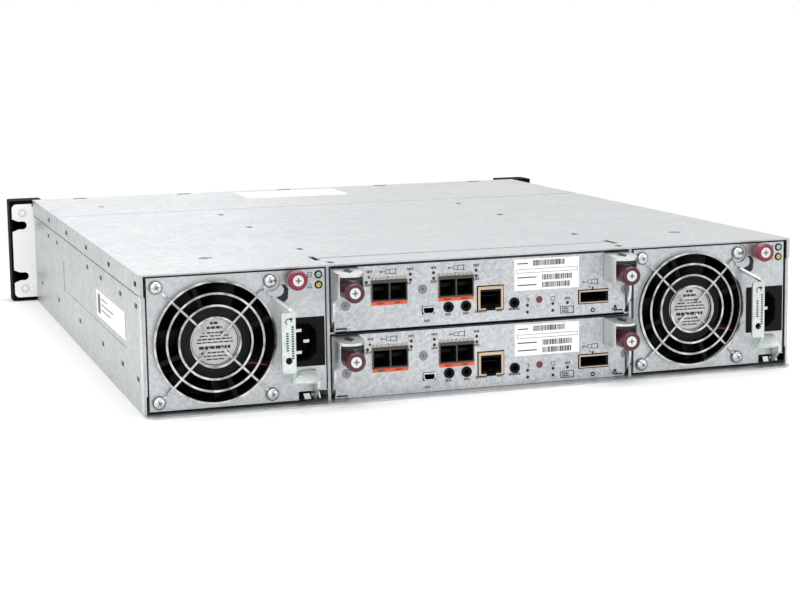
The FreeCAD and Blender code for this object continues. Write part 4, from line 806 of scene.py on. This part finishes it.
def open_liner(shape, low, high, back):
    """Thin black walls inside a socket's mouth, with a back, open towards +Y."""
    (x0, z0), (x1, z1) = low, high
    skin = 0.15
    depth = 254.6 - back - skin
    shape.plate(low, high, back, skin)
    for a, b in (((x0, z0), (x0 + skin, z1)), ((x1 - skin, z0), (x1, z1)),
                 ((x0 + skin, z0), (x1 - skin, z0 + skin)), ((x0 + skin, z1 - skin), (x1 - skin, z1))):
        shape.plate(a, b, back + skin, depth)


def socket_rims(level, body, drop):
    """Black linings of the sockets, for their black plastic and for painted shade deep in their mouths, the
    metal rims round their mouths, and painted shade in the seams round those.
    """
    liner = Shape(drop)
    open_liner(liner, (33.7, 50.95), (42.1, 55.15), 246.5)
    open_liner(liner, (NETWORK[0], 55.5), (NETWORK[1], 64.6), 238.0)
    liner.box((-7.75, 238.0, 53.35), (-1.55, 253.6, 55.5))
    open_liner(liner, (-86.5, 53.8), (-68.3, 59.6), 227.0)
    fit(level + "_port_liners", body, gap_shade_black, liner)
    left, right = 42.05, 33.75
    bezel = Shape(drop).plate((right, 56.4), (left, 57.3), SOCKET_RIM, 0.2)
    bezel.plate((right + 1.0, 52.45), (left - 1.0, 52.95), SOCKET_RIM, 0.2)
    for outer, toward in ((right, 1.0), (left, -1.0)):
        inner, low = outer + 0.7 * toward, outer + 1.6 * toward
        bezel.prism([(outer, 56.4), (inner, 56.4), (inner, 54.4), (low, 52.95), (outer + toward, 52.45),
                     (outer, 54.2)], SOCKET_RIM, 0.2)
    fit(level + "_usb_bezel", body, nickel, bezel)
    for socket, parts in (("network", (((-13.35, 65.8), (4.05, 67.7)), ((-13.35, 52.5), (-11.8, 65.8)),
                                       ((2.5, 52.5), (4.05, 65.8)), ((-11.8, 52.5), (-8.0, 53.5)),
                                       ((-1.3, 52.5), (2.5, 53.5)))),
                          ("expansion", (((-87.7, 59.9), (-67.1, 60.9)), ((-87.7, 52.5), (-67.1, 53.2)),
                                         ((-67.9, 53.2), (-67.1, 59.9))))):
        shell = Shape(drop)
        for low, high in parts:
            shell.plate(low, high, SOCKET_RIM, 0.14)
        fit("%s_%s_shell_rim" % (level, socket), body, shell_gold, shell)
    # Painted shade: dark frames in the seams round two sockets, and a dark strip along the faceplate's top
    # edge.
    outline = Shape(drop).frame_plate((-14.0, 51.8), (4.7, 68.4), 0.55, CONTROLLER_FACE)
    outline.frame_plate((-88.3, 51.8), (-66.5, 61.5), 0.55, CONTROLLER_FACE)
    outline.plate((-102.2, 85.45), (102.2, 86.05), CONTROLLER_FACE)
    fit(level + "_seam_gaskets", body, gap_shade_black, outline)


def network_parts(level, body, drop):
    """The lamps, the contacts and the contacts' rest in the network socket's mouth."""
    for x, shade, finish in ((-10.2, "amber", amber_lens), (0.9, "green", green_lens)):
        lens = Shape(drop).box((x - 1.3, 249.6, 53.6), (x + 1.3, 254.6, 54.9), 0.2)
        fit("%s_network_%s_lamp" % (level, shade), body, finish, lens)
    rest = Shape(drop).box((-9.8, 240.0, 61.0), (0.5, 252.0, 61.5))
    fit(level + "_network_contact_rest", body, black_plastic, rest)
    contacts = [(-8.7 + i * 1.15, 242.0, 60.4 - drop) for i in range(8)]
    pin = Shape().box((-0.2, -3.0, -0.4), (0.2, 2.0, 0.4))
    repeat(level + "_network_contacts", body, shell_gold, pin, contacts)


random.seed(7)
for level, drop in LEVELS:
    for make in (faceplate_marks, host_ports, round_parts, paper_label, socket_rims, network_parts):
        make(level, level + "_controller", drop)


# What stands on the controllers' boards

BOARD_TOP = 52.4
CHIPS = ((30.0, 114.95), (-10.0, -35.05), (20.0, -75.05), (-50.0, 144.95))


def board_parts(level, body, drop):
    """Chip packages, the battery, memory with its sockets, small parts and cans on a controller's board."""
    top = BOARD_TOP - drop
    package = Shape().box((-12.15, -12.15, -1.9), (12.15, 12.15, 0.15))
    package.box((-8.5, -8.5, 0.15), (8.5, 8.5, 0.6), 0.15)
    package.box((-11.2, -11.2, 0.15), (-9.8, -9.8, 0.25))
    spots = [(x, y, top + 2.0) for x, y in CHIPS]
    repeat(level + "_chip_packages", body, charcoal, package, spots)

    cell_top = BOARD_TOP + 22.15
    pack = Shape(drop).box((-86.15, 69.8, BOARD_TOP + 0.1), (-43.85, 130.1, cell_top))
    for y in (78.0, 122.0):
        pack.box((-86.5, y - 2.0, BOARD_TOP + 0.1), (-43.5, y + 2.0, cell_top + 0.45), 0.3)
    fit(level + "_battery_pack", body, charcoal, pack)
    tag = Shape(drop).box((-80.0, 88.0, cell_top), (-50.0, 112.0, cell_top + 0.1))
    fit(level + "_battery_label", body, label_paper, tag)

    sockets = Shape(drop)
    memory = []
    for x in (-74.0, -64.0):
        sockets.box((x - 2.2, -77.0, BOARD_TOP + 0.02), (x + 3.8, 64.0, BOARD_TOP + 5.2), 0.3)
        for y in (-78.5, 60.5):
            sockets.box((x - 1.2, y, BOARD_TOP + 0.02), (x + 2.8, y + 5.0, BOARD_TOP + 14.0), 0.3)
        memory += [(x + 0.8, 14.0 * i - 63.0, top + 15.5) for i in range(9)]
    fit(level + "_memory_sockets", body, black_plastic, sockets)
    wafer = Shape().box((-1.7, -5.2, -6.0), (1.7, 5.2, 6.0), 0.15)
    repeat(level + "_memory_chips", body, charcoal, wafer, memory)

    dice = random.Random(11)
    spots = [(dice.uniform(38.0, 92.0), dice.uniform(-85.0, 150.0), top + 0.4) for _ in range(90)]
    grain = Shape().box((-1.0, -0.5, -0.38), (1.0, 0.5, 0.6), 0.1)
    repeat(level + "_small_parts", body, shell_gold, grain, spots)
    around = [22.5 * i for i in range(16)]
    can = Shape().flat(arc((0, 0), 3.2, around), 0.02, 6.5)
    can.flat(arc((0, 0), 3.7, around), 0.02, 0.9)
    spots = [(x, y, top) for x in (52.0, 64.0, 76.0, 88.0) for y in (-95.0, 158.0)]
    repeat(level + "_capacitor_cans", body, nickel, can, spots)


for level, drop in LEVELS:
    board_parts(level, level + "_controller", drop)


# Chassis, with depths measured from the rack ears

EAR_Y = -253.75
REAR_Y = 256.25
WALL = 222.5
TOP = 88.0
SIDES = (-1, 1)
# How far out the rivets of the rack ears sit, and their heights.
EAR_RIVETS = (232.55, (11.0, 77.0))


def on_cover(shape, low, high, sunk=0.1):
    """A thin plate let into the covers' top, between two corners given across and back from the ears."""
    return shape.box((low[0], EAR_Y + low[1], TOP - sunk), (high[0], EAR_Y + high[1], TOP + 0.02))


side_label = Shape().box((WALL, EAR_Y + 335.0, 38.0), (WALL + 0.12, EAR_Y + 449.0, 56.0))
fit("side_blank_label", "chassis", label_paper, side_label)
side_marks = Shape()
for high, z in ((380.0, 51.5), (404.0, 47.6), (392.0, 43.7)):
    side_marks.box((WALL + 0.12, EAR_Y + 356.0, z), (WALL + 0.18, EAR_Y + high, z + 0.7))
for column in range(9):
    y = EAR_Y + 341.0 + 1.2 * column
    side_marks.box((WALL + 0.12, y, 40.5), (WALL + 0.18, y + 0.4 + 0.2 * (column % 3), 54.0))
fit("side_label_marks", "chassis", black_ink, side_marks)
# Painted highlight: the hems along the walls' rear edges take the brighter lever sheet's finish, for the
# light along their folds.
hems = Shape()
# Painted shade: dark strips under the cover flanges and in their slots, where the gaps lie in shade.
flange_shade = Shape()
for side in SIDES:
    hems.box((side * WALL, REAR_Y - 8.0, 1.5), (side * (WALL + 0.3), REAR_Y - 0.3, 74.3), 0.1)
    flange_shade.box((side * (WALL - 0.2), EAR_Y + 1.0, 73.7), (side * (WALL + 0.2), REAR_Y - 0.5, 75.0))
    for number in range(6):
        y = EAR_Y + 8.0 + number * 97.4
        flange_shade.box((side * (WALL - 0.1), y - 4.4, 79.5), (side * (WALL + 0.35), y + 4.4, 82.5))
fit("rear_edge_hems", "chassis", lever_zinc, hems)
fit("cover_flange_seams", "chassis", gap_shade_black, flange_shade)

# Painted shade: grey rings round the rivets' edges on the bright ears.
rivets = Shape()
for side in SIDES:
    for z in EAR_RIVETS[1]:
        rivets.ring((side * EAR_RIVETS[0], z), 3.0, 3.5, EAR_Y + 0.02, 0.1, 32)
        rivets.ring((side * EAR_RIVETS[0], z), 2.1, 2.5, EAR_Y + 0.5, 0.05, 32)
fit("ear_rivet_edges", "chassis", power_zinc, rivets)

fit("top_blank_label", "chassis", label_paper, on_cover(Shape(), (-41.5, 15.0), (47.5, 70.0)))
# Painted highlight: thin strips of a slightly lighter grey stand for the light along creases in the cover.
creases = Shape()
for left, right, start, end in ((97.8, 98.4, 22.0, 138.0), (56.8, 57.3, 200.0, 480.0),
                                (396.8, 397.3, 300.0, 440.0)):
    on_cover(creases, (across(right), start), (across(left), end))
fit("cover_crease_lines", "chassis", power_zinc, creases)
# Painted shade along the seam between the two covers.
seam = on_cover(Shape(), (-BODY_LEFT + 0.5, 149.6), (BODY_LEFT - 0.5, 151.2), 0.3)
fit("cover_seam_shadow", "chassis", seam_shade_grey, seam)
clips = [(91.5 * (number - 2), EAR_Y + 4.0, TOP - 0.55) for number in range(5)]
clip = Shape().box((-5.8, -3.7, -0.45), (5.8, 3.7, 0.45), 0.2)
repeat("front_notch_clips", "chassis", black_plastic, clip, clips)

# Painted shade: dull black strips in the gaps above, between and beside the modules.
gap_shade_strips = Shape().box((-100.0, 249.0, 86.25), (100.0, 254.2, 86.85))
gap_shade_strips.box((-100.0, 254.21, 43.2), (100.0, 254.5, 44.4))
for side in SIDES:
    gap_shade_strips.box((side * 110.0, 248.0, 86.62), (side * 218.0, 254.9, 86.9))
    gap_shade_strips.box((side * 220.3, 248.0, 3.0), (side * 221.1, 254.9, 86.4))
fit("module_seam_gaskets", "chassis", gap_shade_black, gap_shade_strips)


# Drives: crimson release pads, vents in the latches as discs of painted shade, and status lamps

DRIVES = (-204.7, -186.9, -169.1, 169.1, 186.9, 204.7)
VENT_COLUMNS = (-3.0, 0.0, 3.0)
VENT_ROWS = 16
VENT_PITCH = 2.6

for number, x in enumerate(DRIVES, 1):
    latch_body = "drive_%d_latch_lever" % number
    latch_low, latch_high = (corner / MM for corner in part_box("drive_%d_latch" % number))
    pad = Shape().box((x - 3.6, latch_low.y + 0.5, latch_high.z - 12.4),
                      (x + 3.6, latch_low.y + 1.4, latch_high.z - 2.6), 0.3)
    fit("drive_%d_release_pad" % number, latch_body, crimson, pad)
    # Painted shade: each vent is a dark disc on the latch, not a hole.
    vent = Shape().disc((0, 0), 0.95, -0.06, 0.16, 8)
    rows = [latch_low.z + 8.0 + VENT_PITCH * row for row in range(VENT_ROWS)]
    holes = [(x + column, latch_low.y, z) for z in rows for column in VENT_COLUMNS]
    repeat("drive_%d_latch_vents" % number, latch_body, gap_shade_black, vent, holes)
    bezel_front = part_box("drive_%d_carrier" % number)[0].y / MM
    for colour, column, finish in (("green", -2.4, green_lens), ("amber", 2.4, amber_lens)):
        lens = Shape().disc((x + column, 80.4), 0.95, bezel_front + 0.6, -0.62, 20)
        fit("drive_%d_%s_lamp" % (number, colour), "drive_%d" % number, finish, lens)


# Controllers' hoods: the painted shade under their lips and the arrows on their sloping tops

HOOD_WIDTH = 17.9
HOOD_BOW = 6.5
HOOD_START = 255.15
# How far a hood's top falls with each millimetre towards its lip.
HOOD_FALL = 0.1205
HOOD_RADIUS = ((HOOD_WIDTH / 2) ** 2 + HOOD_BOW ** 2) / (2 * HOOD_BOW)
SHADE_ANGLES = range(39, 142, 6)
ARROW = ((-3.9, 263.2), (0.0, 269.0), (3.9, 263.2), (1.9, 263.2), (1.9, 259.4), (-1.9, 259.4), (-1.9, 263.2))

for level, drop in LEVELS:
    for side, x in KNOBS:
        label, lever = "%s_%s_hood" % (level, side), "%s_%s_lever" % (level, side)
        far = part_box("controller_%s_lever_%s" % (level, side))[1] / MM
        middle = (x, far.y - HOOD_RADIUS)
        # Painted shade: a dark band inside each hood's lip, where the hood shades itself.
        band = arc(middle, HOOD_RADIUS + 0.06, SHADE_ANGLES)
        band += arc(middle, HOOD_RADIUS - 0.1, reversed(SHADE_ANGLES))
        fit(label + "_shade", lever, painted_shade_zinc, Shape().flat(band, far.z - 5.58, 1.75))
        arrow = Shape().flat([(x + a, y) for a, y in ARROW], 0.0, PRINT)
        for vert in arrow.mesh.verts:
            vert.co.z += far.z - HOOD_FALL * (vert.co.y - HOOD_START)
        fit(label + "_arrow", lever, black_ink, arrow)


# Power levers: the turning arrow and the rows of marks on their grips

for side, x in (("left", 135.2), ("right", -190.8)):
    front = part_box("power_%s_lever" % side)[1].y / MM
    mark = Shape().ring((x, 56.4), 1.4, 2.0, front, PRINT, 24, -60, 250)
    mark.prism([(x - 2.9, 58.4), (x - 0.4, 58.9), (x - 1.7, 56.6)], front)
    for column, start, count in ((x + 0.9, 38.0, 8), (x - 2.5, 33.0, 14)):
        for row in range(count):
            z = start + 1.5 * row
            mark.plate((column - 0.75, z), (column + 0.75, z + 0.9), front)
    fit(side + "_grip_arrow", side + "_power_lever", black_ink, mark)


# Stage, light and camera

# White laminate floor: it keeps the machine's shadow near it and turns to plain white further off.
FLOOR_SPECK = 20.0
# How far from the middle, in metres, the floor starts and ends its turn to plain white.
FLOOR_FADE = (0.34, 0.75)
SKY_LIGHT = 0.74
floor_finish, tree, shader, place = finish_named("white_studio_laminate", {"Roughness": 0.65})
speck = node(tree, "ShaderNodeTexNoise", {}, {"Scale": 1 / (FLOOR_SPECK * MM), "Detail": 2.0},
             {"Vector": place})
pale = node(tree, "ShaderNodeValToRGB", links={"Fac": speck.outputs["Fac"]},
            stops=((0.0, "#F4F4F3"), (1.0, "#FAFAF9")))
feed(shader, {"Base Color": pale.outputs["Color"]})
plain = node(tree, "ShaderNodeVectorMath", {"operation": "MULTIPLY"}, {1: (1.0, 1.0, 0.0)}, {0: place})
away = node(tree, "ShaderNodeVectorMath", {"operation": "LENGTH"}, {}, {0: plain.outputs["Vector"]})
fade = node(tree, "ShaderNodeMapRange", {"interpolation_type": "SMOOTHSTEP"},
            {"From Min": FLOOR_FADE[0], "From Max": FLOOR_FADE[1]}, {"Value": away.outputs["Value"]})
rays = node(tree, "ShaderNodeLightPath")
shown = node(tree, "ShaderNodeMath", {"operation": "MAXIMUM"}, {},
             {0: rays.outputs["Is Camera Ray"], 1: rays.outputs["Is Glossy Ray"]})
share = node(tree, "ShaderNodeMath", {"operation": "MULTIPLY"}, {},
             {0: fade.outputs["Result"], 1: shown.outputs["Value"]})
glow = node(tree, "ShaderNodeEmission", {}, {"Color": linear("#FFFFFF"), "Strength": 1.0})
blend = node(tree, "ShaderNodeMixShader", {}, {},
             {0: share.outputs["Value"], 1: shader.outputs["BSDF"], 2: glow.outputs["Emission"]})
feed(tree.nodes["Material Output"], {"Surface": blend.outputs["Shader"]})

floor = Shape().box((-6000, -6000, -12), (6000, 6000, -0.05)).object("studio_floor")
floor.data.materials.append(floor_finish)
floor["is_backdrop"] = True

world = bpy.data.worlds.new("studio")
bpy.context.scene.world = world
world.use_nodes = True
sky = world.node_tree
soft = sky.nodes["Background"]
soft.inputs["Color"].default_value = linear("#F7F7F7")
soft.inputs["Strength"].default_value = SKY_LIGHT
white = node(sky, "ShaderNodeBackground", {}, {"Color": linear("#FFFFFF"), "Strength": 1.0})
path = node(sky, "ShaderNodeLightPath")
seen = node(sky, "ShaderNodeMath", {"operation": "MAXIMUM"}, {},
            {0: path.outputs["Is Camera Ray"], 1: path.outputs["Is Glossy Ray"]})
seen = node(sky, "ShaderNodeMath", {"operation": "MAXIMUM"}, {},
            {0: seen.outputs["Value"], 1: path.outputs["Is Transmission Ray"]})
mixer = node(sky, "ShaderNodeMixShader", {}, {},
             {0: seen.outputs["Value"], 1: soft.outputs["Background"], 2: white.outputs["Background"]})
feed(sky.nodes["World Output"], {"Surface": mixer.outputs["Shader"]})


def lamp(name, place, target, size, power):
    """A soft rectangular studio lamp."""
    light = bpy.data.lights.new(name, "AREA")
    light.shape = "SQUARE"
    light.size = size
    light.energy = power
    made = linked(name, light)
    made.location = place
    made.rotation_euler = (Vector(target) - Vector(place)).to_track_quat("-Z", "Y").to_euler()


lamp("overhead_softbox", (0.0, 0.1, 1.9), (0, 0, 0), 1.8, 28)
lamp("rear_left_softbox", (1.5, 1.6, 1.0), (0, 0.1, 0.04), 1.2, 10)
lamp("rear_right_softbox", (-1.4, 1.5, 0.9), (0, 0.1, 0.04), 1.2, 6)
lamp("front_softbox", (0.2, -1.9, 1.1), (0, 0, 0.04), 1.4, 4)

AZIMUTH = math.radians(161.140)
ELEVATION = math.radians(7.870)
ROLL = math.radians(-0.729)
DISTANCE = 1.26766
TARGET = Vector((0.010628, 0.15625, 0.067054))
FOCAL_PIXELS = 1823.93
PICTURE_WIDTH = 800
SENSOR = 36.0
SHIFT = (-0.0231, -0.0382)

back = Vector((math.sin(AZIMUTH) * math.cos(ELEVATION), -math.cos(AZIMUTH) * math.cos(ELEVATION),
               math.sin(ELEVATION)))
turn = (-back).to_track_quat("-Z", "Y").to_matrix().to_4x4()
view = bpy.data.cameras.new("photo_camera")
view.sensor_width = SENSOR
view.lens = FOCAL_PIXELS / PICTURE_WIDTH * SENSOR
view.shift_x, view.shift_y = SHIFT
view.clip_start = 0.05
view.clip_end = 50
camera = linked("photo_camera", view)
camera.matrix_world = Matrix.Translation(TARGET + back * DISTANCE) @ turn @ Matrix.Rotation(ROLL, 4, "Z")
bpy.context.scene.camera = camera
bpy.context.scene.view_settings.view_transform = "Standard"

low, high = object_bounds()
